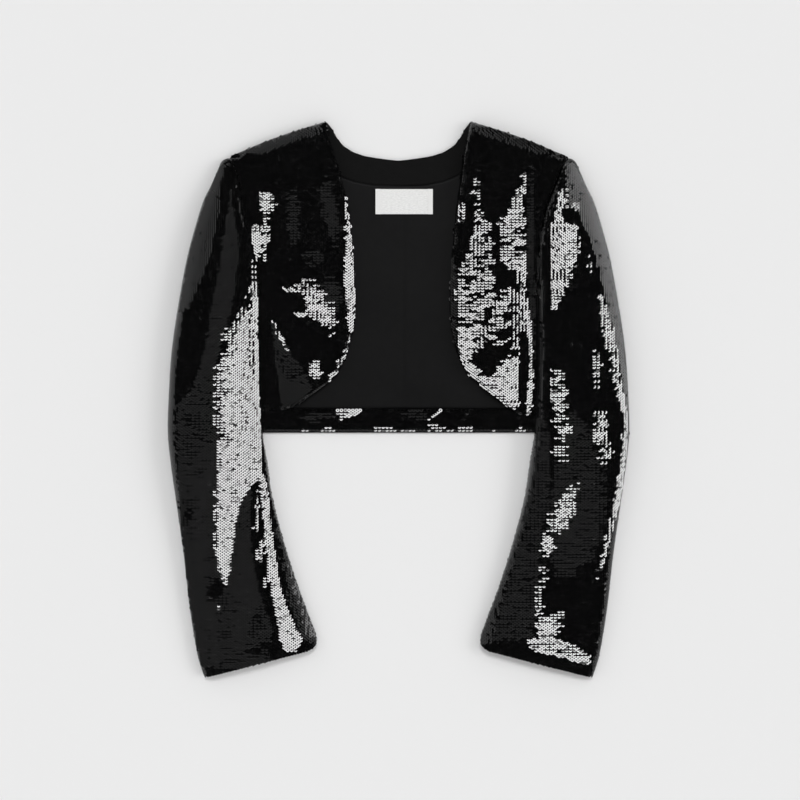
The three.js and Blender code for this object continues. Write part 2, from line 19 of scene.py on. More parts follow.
import bpy
import numpy as np
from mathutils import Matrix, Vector

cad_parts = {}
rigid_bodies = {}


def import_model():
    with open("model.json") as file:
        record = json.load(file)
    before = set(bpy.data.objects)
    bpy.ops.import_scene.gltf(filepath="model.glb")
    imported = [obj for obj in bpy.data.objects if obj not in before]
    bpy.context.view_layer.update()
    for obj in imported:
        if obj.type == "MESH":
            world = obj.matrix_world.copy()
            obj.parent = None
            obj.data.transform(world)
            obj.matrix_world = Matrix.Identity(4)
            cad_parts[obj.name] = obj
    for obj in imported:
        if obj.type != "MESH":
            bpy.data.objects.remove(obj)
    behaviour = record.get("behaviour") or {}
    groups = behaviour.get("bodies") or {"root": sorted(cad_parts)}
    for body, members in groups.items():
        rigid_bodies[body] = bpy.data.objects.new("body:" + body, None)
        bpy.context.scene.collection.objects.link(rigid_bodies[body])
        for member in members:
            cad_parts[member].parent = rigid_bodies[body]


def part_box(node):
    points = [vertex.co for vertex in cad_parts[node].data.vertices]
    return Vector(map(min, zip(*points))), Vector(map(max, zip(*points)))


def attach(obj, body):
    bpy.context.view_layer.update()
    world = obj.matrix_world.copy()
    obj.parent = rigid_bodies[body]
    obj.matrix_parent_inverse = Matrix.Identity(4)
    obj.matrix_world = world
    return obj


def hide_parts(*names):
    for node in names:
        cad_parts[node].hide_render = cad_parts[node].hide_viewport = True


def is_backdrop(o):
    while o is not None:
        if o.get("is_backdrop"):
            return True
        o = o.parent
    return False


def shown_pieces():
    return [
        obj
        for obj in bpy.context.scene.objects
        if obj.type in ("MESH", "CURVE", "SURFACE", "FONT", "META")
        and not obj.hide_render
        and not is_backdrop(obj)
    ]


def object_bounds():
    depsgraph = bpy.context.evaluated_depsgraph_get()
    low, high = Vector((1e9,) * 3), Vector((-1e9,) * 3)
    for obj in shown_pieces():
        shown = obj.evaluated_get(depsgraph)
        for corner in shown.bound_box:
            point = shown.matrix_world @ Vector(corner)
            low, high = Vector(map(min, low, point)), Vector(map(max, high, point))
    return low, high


LOG = logging.getLogger("bolero")
Array = np.ndarray
Triple = tuple[float, float, float]
Node = bpy.types.Node
Socket = bpy.types.NodeSocket
Material = bpy.types.Material
Faces = tuple[Material, Material]

MM = 0.001
SEED = 41

# ---- Sizes ---------------------------------------------------------------------------------------

WALL = 1.8  # a wall of the jacket, cloth with its backing and lining
SEAM = 0.3
BASE = WALL + SEAM
CLOTH = 0.9  # the knit mesh without its sequins
BEDDING = 0.45  # how far the cloth lies below its sequins
SEQUIN_FOOT = 0.3  # the height of the sequins that lie on the surface
WALL_FOOT = SEQUIN_FOOT + BEDDING

BODY_HALF = 200.0
HEM_Y = -38.5
BAND_TOP_Y = -11.0
BAND_HALF = 161.0
BAND_TOP = 3.6
LINING_TOP = 3.1
UNDERARM_Y = 120.0
FREE_Y = 160.0
LAP = 6.6
SHELF = 5.9
SIDE_TOP = 3.9
SHELF_RUN = 26.0
SHELF_MARGIN = 7.0
INNER_EASE_Y = 60.0
SLEEVE_GAP = 0.4
ROLL_SHOULDER = 12.0
ROLL_EDGE = 7.0
ROLL_INNER = 9.0
ROLL_OUTER = 15.0

PITCH = 4.45  # sequin to sequin along a row
ROW_STEP = 1.63  # row to row
ROW_INSET = 0.8  # how far the first and the last row lie inside the piece
SEQUIN_RADIUS = 2.15
SEEN_SIDES = 10  # of each disc
HIDDEN_SIDES = 8
EDGE_PITCH = 3.4  # sequin to sequin along an outline
EDGE_INSET = 0.7
ASTRAY = (0.1, 0.08)  # spread of a sequin's place, along its row and across it
SHINGLE = 4.0  # tilt of a sequin on the one below it
DISORDER = 1.0  # spread of that tilt
CLEARANCE = 0.03  # from the surface to the lowest sequins
HEM_TURNS = (62, 22, -22, -62)  # where the rows round the hem's fold lie, up from its middle
STITCH_AT = (0.5, 0.546, 0.0)  # on a sequin's UV circle, just off its middle towards the neck
STITCH_RADIUS = 0.4  # as a share of the sequin's
RIM_RADIUS = 0.9  # where the sequin's pressed rim starts, as a share
MARK_SOFT = 0.03  # how softly both end, as a share
GROOVE_DEPTH = 1.5  # how far the cloth sinks into the armhole seam
GROOVE_WIDTH = 2.6


class Side(Enum):
    """One half of the jacket, as seen from above."""

    LEFT = -1
    RIGHT = 1

    @property
    def key(self) -> str:
        """The word that ends the names of this side's pieces."""
        return self.name.lower()


# ---- Arithmetic ----------------------------------------------------------------------------------


def mix(start: Array | float, end: Array | float, share: Array | float) -> Array | float:
    """Goes from start (share 0) to end (share 1) in a straight line."""
    return start + (end - start) * share


def smoothstep(value: Array, start: float | Array, end: float | Array) -> Array:
    """Rises smoothly from 0 at start to 1 at end."""
    share = np.clip((value - start) / (end - start), 0, 1)
    return share * share * (3 - 2 * share)


def quarter(share: Array) -> Array:
    """Rises from 0 to 1 along a quarter circle."""
    return np.sqrt(1 - (1 - np.clip(share, 0, 1)) ** 2)


def unit(vectors: Array) -> Array:
    """Scales rows of vectors to length 1."""
    return vectors / np.linalg.norm(vectors, axis=-1, keepdims=True)


class Profile:
    """A value that is read at y, from rows whose y falls."""

    def __init__(self, *rows: tuple[float, float]) -> None:
        """Takes the rows.

        Args:
            rows: y and the value there, from the highest y to the lowest.
        """
        self.y, self.value = (np.array(column, float) for column in zip(*rows))
        before = np.maximum(np.arange(len(rows)) - 1, 0)
        after = np.minimum(np.arange(len(rows)) + 1, len(rows) - 1)
        self.slope = (self.value[after] - self.value[before]) / (self.y[after] - self.y[before])

    def straight(self, y: Array | float) -> Array:
        """Reads the value, straight between rows."""
        return np.interp(-np.asarray(y, float), -self.y, self.value)

    def smooth(self, y: Array | float) -> Array:
        """Reads the value, along a smooth curve through the rows.

        Args:
            y: where to read it.

        Returns:
            The value at each y.
        """
        y = np.asarray(y, float)
        k = np.clip(np.searchsorted(-self.y, -y), 1, len(self.y) - 1)
        run = self.y[k] - self.y[k - 1]
        share = np.clip((y - self.y[k - 1]) / run, 0, 1)
        bend = share * (1 - share) * run
        chord = mix(self.value[k - 1], self.value[k], share * share * (3 - 2 * share))
        return chord + bend * ((1 - share) * self.slope[k - 1] - share * self.slope[k])


def spline(points: tuple[tuple[float, float], ...], steps: int = 8) -> Array:
    """Draws a Catmull-Rom curve.

    Args:
        points: the x and y that it goes through.
        steps: how many points it has from one of them to the next.

    Returns:
        The curve's points, as rows of x and y.
    """
    known = np.array(points, float)
    known = np.vstack([known[0], known, known[-1]])
    share = np.linspace(0, 1, steps, endpoint=False)[:, None]
    spans = []
    for a, b, c, d in zip(known, known[1:], known[2:], known[3:]):
        bend = (c - a) * share + (2 * a - 5 * b + 4 * c - d) * share**2
        spans.append(b + 0.5 * (bend + (3 * b - a - 3 * c + d) * share**3))
    return np.vstack([*spans, known[-1]])


def falling(points: Array) -> Profile:
    """Reads the x of a run of points at y. Its y may stay level, but not rise."""
    y = np.minimum.accumulate(points[:, 1]) - np.arange(len(points)) * 1e-6
    return Profile(*zip(y, points[:, 0]))


def edging(path: Array) -> Array:
    """Places the sequins of a row that follows an edge of the cloth.

    Args:
        path: the edge, as rows of x and y, with the cloth on its right.

    Returns:
        The sequins' x and y, at even steps just inside the edge.
    """
    run = np.append(0, np.cumsum(np.hypot(*np.diff(path, axis=0).T)))
    at = np.arange(EDGE_PITCH / 2, run[-1] - 1, EDGE_PITCH)
    here = np.stack([np.interp(at, run, path[:, k]) for k in (0, 1)], -1)
    ahead = np.stack([np.interp(at + 0.5, run, path[:, k]) for k in (0, 1)], -1)
    along = unit(ahead - here)
    return here + EDGE_INSET * np.stack([along[:, 1], -along[:, 0]], -1)


def distance_to(run: Array, x: Array, y: Array) -> Array:
    """Measures in plan how far points are from a line.

    Args:
        run: the line's own points, as rows of x and y.
        x: the points' x.
        y: the points' y.

    Returns:
        The shortest distance from each point to the line.
    """
    least = np.full(np.shape(x), np.inf)
    for (ax, ay), (bx, by) in zip(run, run[1:]):
        dx, dy = bx - ax, by - ay
        share = np.clip(((x - ax) * dx + (y - ay) * dy) / (dx * dx + dy * dy), 0, 1)
        least = np.minimum(least, (x - ax - share * dx) ** 2 + (y - ay - share * dy) ** 2)
    return np.sqrt(least)


# ---- Outlines ------------------------------------------------------------------------------------

NECK_POINT = (85.0, 324.0)
NECKLINE = spline(
    ((0, 278.5), (17.5, 280.5), (39, 284), (52.5, 288.5), (64.5, 296), (72.5, 306), (79, 318), NECK_POINT)
)
SHOULDER = spline((NECK_POINT, (113.5, 315.5), (140.5, 306.5), (165, 297), (186, 287.5), (197.3, 281.5)))

ARMHOLE_Y = (281.5, 279.5, 276, 270, 262, 252, 237, 220, 200, 180, 160, 140, 120)
ARMHOLE = {
    Side.LEFT: (197.3, 196.2, 194.4, 191.4, 188, 185.5, 184, 181.5, 176, 170.5, 165.5, 163.2, 162.8),
    Side.RIGHT: (197.3, 196, 192.8, 189.3, 186.4, 182.5, 176, 170.5, 166.5, 163.7, 162.5, 161.6, 161),
}
ARMHOLE_TOP = Profile(*zip(ARMHOLE_Y, (4.2, 6.5, 9, 11, 12.6, 13.6, 14, 14, 14, 13.7, 12.6, 9.5, SHELF)))
BODY_SIDE = ((173, 108), (186.5, 96), (196, 85), (BODY_HALF, 75), (BODY_HALF, HEM_Y))

FRONT_EDGE = {
    Side.LEFT: (
        NECK_POINT, (82.5, 315), (80, 298), (74.5, 283), (69, 267), (59, 222.5), (53, 165), (50.8, 105),
        (55.5, 70), (65.5, 41), (80, 20), (105.5, 1), (121.5, -9), (138.5, -14), (158, -16.5), (179, -20),
        (193, -27), (BODY_HALF, HEM_Y),
    ),
    Side.RIGHT: (
        NECK_POINT, (80.5, 306.5), (76, 285), (73, 262), (67.5, 222), (62, 160), (60.3, 105), (63.5, 74.5),
        (70, 51.5), (80.5, 31.5), (94, 17.5), (106, 6), (118, -3.5), (132, -12), (149, -22), (158, -28),
        (176, -34.5), (BODY_HALF, HEM_Y),
    ),
}  # fmt: skip

SLEEVE_OUTER = Profile(
    (282, 198.5), (278.5, 205.5), (269, 210.5), (250.5, 218.5), (232, 227.5), (204, 236.5), (166.5, 246.5),
    (110.5, 257), (55, 265), (0, 268.5), (-38.5, 269.5), (-75.5, 266), (-131.5, 258), (-187.5, 250.2),
    (-243.5, 243.8), (-299.5, 234.5), (-324, 227),
)  # fmt: skip
SLEEVE_INNER = Profile(
    (120, 162.8), (100, 163.6), (68.5, 163), (10.5, 161.5), (-38.5, 158.5), (-75.5, 153), (-113, 147.5),
    (-150.5, 138.3), (-187.5, 127.5), (-225, 115), (-262, 101), (-289, 91),
)  # fmt: skip
CUFF = Profile((-274.8, 96.4), (-284, 96.3), (-289.3, 99.7), (-292.8, 106), (-324, 227))
CUFF_RUN = np.array([(96.4, -274.8), (96.3, -284), (99.7, -289.3), (106, -292.8), (227, -324)])

# How much lower the outer end of a sleeve's section lies than its inner end, and its ridge's height.
DROP = Profile(
    (280, 0), (20, 0), (-20, 1), (-44, 3), (-65, 6), (-90, 10), (-125, 16), (-165, 23), (-205, 29),
    (-248, 35), (-289, 35),
)  # fmt: skip
RIDGE = Profile(
    (282, 4), (279.5, 7), (276, 10.5), (270, 13.5), (262, 16.5), (252, 19), (237, 21.5), (220, 23.5),
    (200, 25), (180, 26), (160, 26.5), (140, 27), (100, 27), (68, 26.5), (20, 26), (-44, 26), (-65, 25.5),
    (-90, 24.5), (-125, 22.5), (-165, 20), (-205, 18), (-248, 16.5), (-289, 15.5),
)  # fmt: skip


@dataclass(frozen=True)
class Crown:
    """How a sleeve's crown lies, from its inner edge (0) to its outer edge (1)."""

    at: float
    inner: float
    outer: float


CROWNS = {Side.LEFT: Crown(0.6, 0.66, 0.86), Side.RIGHT: Crown(0.42, 0.82, 0.84)}
PLATEAUS = {Side.LEFT: (12.0, 4.1), Side.RIGHT: (13.5, 5.6)}  # a front's height, and that of its edge


@dataclass(frozen=True)
class Fold:
    """A soft ridge, or a trough where lift is negative, that fades along its length.

    x and y are its middle, x to the right of the centre line, and turn is its direction from +X.
    """

    x: float
    y: float
    turn: float
    long: float
    wide: float
    lift: float

    def reach(self, x: Array, y: Array) -> Array:
        """Says how far out points are.

        Args:
            x: the points' x.
            y: the points' y.

        Returns:
            0 at the fold's middle and 1 at its half length or half width.
        """
        angle = math.radians(self.turn)
        dx, dy = x - self.x, y - self.y
        along = (dx * math.cos(angle) + dy * math.sin(angle)) / self.long
        across = (dy * math.cos(angle) - dx * math.sin(angle)) / self.wide
        return np.sqrt(along**2 + across**2)

    def height(self, x: Array, y: Array) -> Array:
        """The lift at a point."""
        return self.lift * np.exp(-self.reach(x, y) ** 2)


FRONT_FOLDS = {
    Side.LEFT: (
        Fold(-104, 100, 120, 60, 15, 2.6),
        Fold(-124, 205, 80, 55, 12, -1.4),
        Fold(-80, 232, 98, 45, 9, 0.8),
        Fold(-70, 60, 122, 34, 8, -0.7),
        Fold(-128, 30, 138, 40, 9, 0.9),
        Fold(-150, 250, 62, 26, 8, 0.8),
        Fold(-108, 158, 64, 30, 10, -0.7),
    ),
    Side.RIGHT: (
        Fold(118, 95, 70, 60, 17, 2.2),
        Fold(96, 215, 96, 55, 12, -1.4),
        Fold(132, 238, 84, 40, 10, 0.9),
        Fold(86, 62, 62, 34, 9, -0.8),
        Fold(138, 40, 108, 36, 9, 0.8),
        Fold(82, 150, 88, 34, 8, 0.6),
        Fold(140, 150, 118, 30, 10, -0.8),
    ),
}
SLEEVE_FOLDS = {
    Side.LEFT: (
        Fold(-146, -150, 106, 85, 9, -3.4),
        Fold(-226, -60, 82, 70, 12, -2.4),
        Fold(-214, 120, 75, 70, 13, 2),
        Fold(-190, -250, 78, 46, 12, -1.3),
        Fold(-206, 30, 92, 60, 10, -0.9),
        Fold(-186, -60, 84, 52, 9, 0.9),
        Fold(-226, -190, 82, 46, 9, 0.9),
        Fold(-200, 215, 68, 34, 9, -0.8),
    ),
    Side.RIGHT: (
        Fold(196, 90, 112, 75, 12, -3),
        Fold(196, -125, 72, 70, 11, -2.8),
        Fold(226, -20, 96, 60, 11, 2),
        Fold(176, 10, 88, 60, 9, 0.9),
        Fold(228, 130, 100, 60, 10, -1.0),
        Fold(172, -205, 70, 50, 10, 1.0),
        Fold(226, -185, 96, 50, 10, -1.1),
        Fold(200, 205, 112, 36, 9, 0.9),
    ),
}


def folded(folds: tuple[Fold, ...], x: Array, y: Array) -> Array:
    """The sum of the folds at a point."""
    return sum(fold.height(x, y) for fold in folds)


# ---- Panels --------------------------------------------------------------------------------------


@dataclass(kw_only=True)
class Panel(ABC):
    """A piece of cloth as a height over its plan. Its rows run straight across, from one edge to the other.

    Plan x is the distance from the centre line for a piece on one side, and signed for one across both.
    The rows of sequins are all lined up at the anchor, a plan x, and stop at the margin from their ends.
    """

    name: str = ""
    sign: int = 1
    top: float
    bottom: float
    faces_up: bool = True
    columns: int = 44
    row_length: float = 4.0
    anchor: float = 0.0
    margin: float = 0.6

    @abstractmethod
    def span(self, y: Array) -> tuple[Array, Array]:
        """The two ends of a row, in plan x."""

    @abstractmethod
    def height(self, x: Array, y: Array) -> Array:
        """The height of the sequins at a plan point."""

    def nodes(self) -> tuple[str, ...]:
        """The CAD nodes that the piece stands for."""
        return (self.name,)

    def keeps(self, x: Array, y: Array) -> Array:
        """Whether the piece reaches a plan point that lies between the two ends of its row."""
        return np.full(np.shape(x), True)

    def placed(self, x: Array, y: Array, z: Array) -> Array:
        """Plan points and heights as points in space."""
        return np.stack([self.sign * x, y, z], -1)

    def normal(self, x: Array, y: Array) -> Array:
        """Says which way the outer face of the piece points.

        Args:
            x: the points' plan x.
            y: the points' y.

        Returns:
            The outward direction at each point.
        """
        step = 0.4
        across = (self.height(x + step, y) - self.height(x - step, y)) / (2 * step)
        along = (self.height(x, y + step) - self.height(x, y - step)) / (2 * step)
        up = unit(np.stack([-self.sign * across, -along, np.ones_like(across)], -1))
        return up if self.faces_up else -up

    def shares(self) -> Array:
        """Where the cloth's columns are along a row, closer together at the two edges."""
        even = np.linspace(0, 1, self.columns)
        return mix(even, 0.5 - 0.5 * np.cos(math.pi * even), 0.75)

    def rows(self) -> Array:
        """The y of each of the cloth's rows, rising."""
        count = int((self.top - self.bottom) / self.row_length) + 2
        return np.linspace(self.bottom, self.top, count)

    def plan(self) -> tuple[Array, Array]:
        """Lays out the cloth's grid.

        Returns:
            The plan x and the y of its points, by rows and columns.
        """
        y = self.rows()
        start, end = self.span(y)
        x = start[:, None] + (end - start)[:, None] * self.shares()
        return x, np.broadcast_to(y[:, None], x.shape).copy()

    def cloth(self) -> Array:
        """The grid of points on the outer face of the cloth, under the sequins."""
        x, y = self.plan()
        return self.placed(x, y, self.height(x, y)) - BEDDING * self.normal(x, y)

    def sequins(self) -> tuple[Array, Array, Array]:
        """Places the sequins, evenly along each row's own length, every other row by half a step.

        Returns:
            The plan x, the y and the row's number of each sequin.
        """
        xs, ys, row = [], [], []
        levels = np.arange(self.bottom + ROW_INSET, self.top - ROW_INSET, ROW_STEP)
        ease = 0.5 - 0.5 * np.cos(np.linspace(0, math.pi, 420))
        start, end = self.span(levels)
        x = start[:, None] + (end - start)[:, None] * ease
        y = np.broadcast_to(levels[:, None], x.shape)
        step = np.hypot(np.diff(x, axis=1), np.diff(self.height(x, y), axis=1))
        run = np.concatenate([np.zeros((len(levels), 1)), np.cumsum(step, axis=1)], axis=1)
        for index, (row_x, row_run, level) in enumerate(zip(x, run, levels)):
            inside = float(np.clip(self.anchor, row_x[0], row_x[-1]))
            zero = np.interp(inside, row_x, row_run) + self.anchor - inside + PITCH / 2 * (index % 2)
            first = math.ceil((self.margin - zero) / PITCH)
            last = math.floor((row_run[-1] - self.margin - zero) / PITCH)
            if last < first:
                continue
            places = np.interp(zero + PITCH * np.arange(first, last + 1), row_run, row_x)
            xs.append(places)
            ys.append(np.full(len(places), level))
            row.append(np.full(len(places), index))
        x, y, row = np.concatenate(xs), np.concatenate(ys), np.concatenate(row)
        kept = self.keeps(x, y)
        edge = self.edge_row()
        return (
            np.append(x[kept], edge[:, 0]),
            np.append(y[kept], edge[:, 1]),
            np.append(row[kept], np.full(len(edge), row.max() + 1)),
        )

    def edge_row(self) -> Array:
        """The plan of one more row of sequins, which follows an edge that the other rows meet aslant."""
        return np.empty((0, 2))


def outer_edge(side: Side) -> Profile:
    """The outer edge of the body on one side: the shoulder, the armhole and the side seam."""
    return falling(np.vstack([SHOULDER, tuple(zip(ARMHOLE[side], ARMHOLE_Y)), BODY_SIDE]))


@dataclass(kw_only=True)
class Front(Panel):
    """One front: a plateau that rolls down at its free edge and along the shoulder, lower by the sleeve.

    It swells a little higher over the chest, from swell_start to swell_end.
    """

    side: Side
    top: float = NECK_POINT[1] - 0.6
    bottom: float = HEM_Y + 1.0
    anchor: float = 120.0
    row_length: float = 3.2
    margin: float = 1.6
    swell: float = 2.0
    swell_start: float = 200.0
    swell_end: float = 280.0

    def __post_init__(self) -> None:
        """Draws the outline of this side."""
        self.sign, self.name = self.side.value, f"front_{self.side.key}"
        self.edge = spline(FRONT_EDGE[self.side])
        self.inner = falling(self.edge)
        self.outer = outer_edge(self.side)
        self.armhole = Profile(*zip(ARMHOLE_Y, ARMHOLE[self.side]))

    def span(self, y: Array) -> tuple[Array, Array]:
        """The free edge and the outer edge."""
        return self.inner.straight(y), self.outer.straight(y)

    def height(self, x: Array, y: Array) -> Array:
        """Reads the height of the front.

        Args:
            x: the points' plan x.
            y: the points' y.

        Returns:
            The height of the sequins at each point.
        """
        plateau, edge = PLATEAUS[self.side]
        flat = plateau + self.swell * smoothstep(y, self.swell_start, self.swell_end)
        flat += folded(FRONT_FOLDS[self.side], self.sign * x, y)
        turned = mix(edge, flat, quarter(distance_to(self.edge, x, y) / ROLL_EDGE))
        rolled = mix(BASE, turned, quarter(distance_to(SHOULDER, x, y) / ROLL_SHOULDER))
        in_armhole = y >= UNDERARM_Y
        seam = np.where(in_armhole, self.armhole.straight(y), SLEEVE_INNER.smooth(y))
        shelf_x = seam - SHELF_MARGIN * (1 - smoothstep(y, UNDERARM_Y, FREE_Y))
        shelf_top = np.where(in_armhole, ARMHOLE_TOP.straight(y), SHELF)
        near = mix(rolled, shelf_top, smoothstep(x, shelf_x - SHELF_RUN, shelf_x))
        beyond = mix(SHELF, SIDE_TOP, (x - shelf_x) / (BODY_HALF - shelf_x))
        return np.where((x < shelf_x) | in_armhole, near, beyond) - groove(seam - x, y)

    def edge_row(self) -> Array:
        """The row along the free edge and the shoulder."""
        return edging(np.vstack([self.edge[::-1], SHOULDER[1:]]))


def groove(distance: Array, y: Array) -> Array:
    """How far the cloth sinks into the armhole seam beside it."""
    return GROOVE_DEPTH * np.exp(-((distance / GROOVE_WIDTH) ** 2)) * smoothstep(y, 112, 150)


def lap_height(x: Array, y: Array) -> Array:
    """The height of a sleeve's underside, flat on the surface but lifted over the side of the body."""
    down = 1 - smoothstep(y, UNDERARM_Y, FREE_Y)
    return LAP * down * smoothstep(y, -85, -43.5) * (1 - smoothstep(x, 196, 214))


@dataclass(kw_only=True)
class Sleeve(Panel):
    """What the upper and the under sleeve share: their outline."""

    part: str
    side: Side
    top: float = 281.0
    bottom: float = -322.5
    anchor: float = 200.0

    def __post_init__(self) -> None:
        """Draws the armhole of this side."""
        self.sign, self.name = self.side.value, f"{self.part}_{self.side.key}"
        self.armhole = Profile(*zip(ARMHOLE_Y, ARMHOLE[self.side]))

    def inner(self, y: Array) -> Array:
        """Reads the inner edge: the armhole seam, then the fold below the underarm.

        Args:
            y: where to read it.

        Returns:
            The plan x of the edge at each y.
        """
        ease = smoothstep(y, INNER_EASE_Y, UNDERARM_Y)
        free = mix(SLEEVE_INNER.smooth(y), self.armhole.straight(UNDERARM_Y), ease)
        return np.where(y >= UNDERARM_Y, self.armhole.straight(y), free) + SLEEVE_GAP

    def span(self, y: Array) -> tuple[Array, Array]:
        """The inner edge, cut off by the cuff, and the outer edge."""
        cuff = np.where(y < CUFF.y[0], CUFF.straight(y), 0)
        return np.maximum(self.inner(y), cuff), SLEEVE_OUTER.smooth(y)


@dataclass(kw_only=True)
class SleeveTop(Sleeve):
    """The upper sleeve: a crown between two rolled edges, with folds that fade out towards both."""

    part: str = "sleeve_top"
    fade: float = 0.2

    def section(self, x: Array, y: Array) -> tuple[Array, Array, Array]:
        """Finds the section across the sleeve that points lie on.

        Args:
            x: the points' plan x.
            y: the points' y.

        Returns:
            The y of the section's inner end, the share across it and its width, for each point.
        """
        level = y
        for _ in range(5):
            inner, low = self.inner(level), level - DROP.straight(level)
            outer = SLEEVE_OUTER.smooth(low)
            across = np.clip((x - inner) / (outer - inner), 0, 1)
            level = y + DROP.straight(level) * across
        return level, across, np.hypot(outer - inner, DROP.straight(level))

    def height(self, x: Array, y: Array) -> Array:
        """Reads the height of the upper sleeve.

        Args:
            x: the points' plan x.
            y: the points' y.

        Returns:
            The height of the sequins at each point.
        """
        crown = CROWNS[self.side]
        level, across, width = self.section(x, y)
        head = RIDGE.smooth(level)
        seam_top = np.where(level >= UNDERARM_Y, ARMHOLE_TOP.straight(level), SHELF)
        start = mix(head * crown.inner, seam_top, smoothstep(level, UNDERARM_Y, FREE_Y))
        rising = mix(start, head, np.sin(math.pi / 2 * np.clip(across / crown.at, 0, 1)))
        fallen = np.cos(math.pi / 2 * np.clip((across - crown.at) / (1 - crown.at), 0, 1))
        falling_side = mix(head * crown.outer, head, fallen)
        folds = folded(SLEEVE_FOLDS[self.side], self.sign * x, y)
        folds = folds * smoothstep(np.minimum(across, 1 - across), 0, self.fade)
        top = np.where(across < crown.at, rising, falling_side) + folds
        free = 1 - smoothstep(level, UNDERARM_Y, FREE_Y)
        inner_roll = quarter(across * width / np.minimum(ROLL_INNER, 0.25 * width))
        outer_roll = quarter((1 - across) * width / np.minimum(ROLL_OUTER, 0.5 * width))
        turned = mix(top, mix(lap_height(x, y) + BASE, top, inner_roll), free)
        return mix(BASE, turned, outer_roll) - groove(across * width, y) * outer_roll

    def edge_row(self) -> Array:
        """The row along the cuff."""
        return edging(CUFF_RUN[::-1])


@dataclass(kw_only=True)
class SleeveUnder(Sleeve):
    """The under sleeve, which lies on the surface and laps over the side of the body."""

    part: str = "sleeve_under"
    faces_up: bool = False
    columns: int = 24
    margin: float = 2.0

    def nodes(self) -> tuple[str, ...]:
        """The two solids that stand for this one piece of cloth."""
        return (self.name, f"sleeve_under_cap_{self.side.key}")

    def height(self, x: Array, y: Array) -> Array:
        """The height of the sequins on the underside."""
        return lap_height(x, y) + SEQUIN_FOOT


@dataclass(kw_only=True)
class Back(Panel):
    """The back, flat on the surface with its outside down."""

    name: str = "back_panel"
    faces_up: bool = False
    columns: int = 90
    levels: int = 90
    margin: float = 2.0
    top: float = 323.0
    bottom: float = HEM_Y + 0.5

    def __post_init__(self) -> None:
        """Draws the neckline with the shoulders, and the two sides."""
        self.head = np.vstack([NECKLINE, SHOULDER[1:]])
        self.edges = {side: outer_edge(side) for side in Side}

    def span(self, y: Array) -> tuple[Array, Array]:
        """The left and the right side."""
        return -self.edges[Side.LEFT].straight(y), self.edges[Side.RIGHT].straight(y)

    def keeps(self, x: Array, y: Array) -> Array:
        """Leaves out what lies beyond the neckline or a shoulder."""
        return y < np.interp(np.abs(x), *self.head.T) - self.margin

    def height(self, x: Array, y: Array) -> Array:
        """The height of the sequins that lie on the surface."""
        return np.full(np.shape(x), SEQUIN_FOOT)

    def plan(self) -> tuple[Array, Array]:
        """Lays out the cloth's grid, whose columns end at the neckline and the shoulders.

        Returns:
            The plan x and the y of its points, by rows and columns.
        """
        tip = SHOULDER[-1]
        level = np.linspace(0, 1, self.levels)[:, None]
        share = np.linspace(-1, 1, self.columns)[None, :]
        top = np.interp(np.abs(share) * tip[0], *self.head.T)
        start, end = self.span(mix(self.bottom, tip[1], level))
        x = np.where(share < 0, -start * share, end * share)
        return x, mix(self.bottom, top, level)


@dataclass(kw_only=True)
class HemBand(Panel):
    """The sequinned cloth that is turned up inside the back's hem, round a fold of fold_rows rows."""

    name: str = "back_hem_facing"
    top: float = BAND_TOP_Y
    bottom: float = HEM_Y + 1.6
    columns: int = 80
    row_length: float = 3.0
    fold_rows: int = 7

    def span(self, y: Array) -> tuple[Array, Array]:
        """The two ends of the band."""
        return np.full(np.shape(y), -BAND_HALF), np.full(np.shape(y), BAND_HALF)

    def height(self, x: Array, y: Array) -> Array:
        """The height of the band, with a slight ripple above the fold."""
        ripple = 0.22 * np.sin(x / 23 + 0.6) + 0.14 * np.sin(x / 9.7 + 2)
        return BAND_TOP + ripple * smoothstep(y, HEM_Y, HEM_Y + 14)

    def cloth(self) -> Array:
        """Adds the fold round the hem to the face of the band.

        Returns:
            The grid of points, by rows and columns.
        """
        face = super().cloth()
        radius = (face[0, :, 2].mean() - WALL_FOOT) / 2
        turn = np.radians(np.linspace(-90, 66, self.fold_rows))[:, None]
        x = np.broadcast_to(face[0, :, 0], (self.fold_rows, face.shape[1]))
        y = self.bottom - radius * np.cos(turn) + 0 * x
        z = WALL_FOOT + radius * (1 + np.sin(turn)) + 0 * x
        return np.vstack([self.placed(x, y, z), face])


@dataclass(kw_only=True)
class Inlay(Panel):
    """A plain piece inside the back, as wide as twice half, with columns that end at two edges of its own."""

    half: float
    levels: int

    def span(self, y: Array) -> tuple[Array, Array]:
        """The two ends of a row."""
        return np.full(np.shape(y), -self.half), np.full(np.shape(y), self.half)

    @abstractmethod
    def edges(self, x: Array) -> tuple[Array | float, Array]:
        """The y of the lower and the upper edge."""

    def plan(self) -> tuple[Array, Array]:
        """Lays out the cloth's grid.

        Returns:
            The plan x and the y of its points, by rows and columns.
        """
        x = np.linspace(-self.half, self.half, self.columns)[None, :]
        level = np.linspace(0, 1, self.levels)[:, None]
        return np.broadcast_to(x, (self.levels, self.columns)).copy(), mix(*self.edges(np.abs(x)), level)


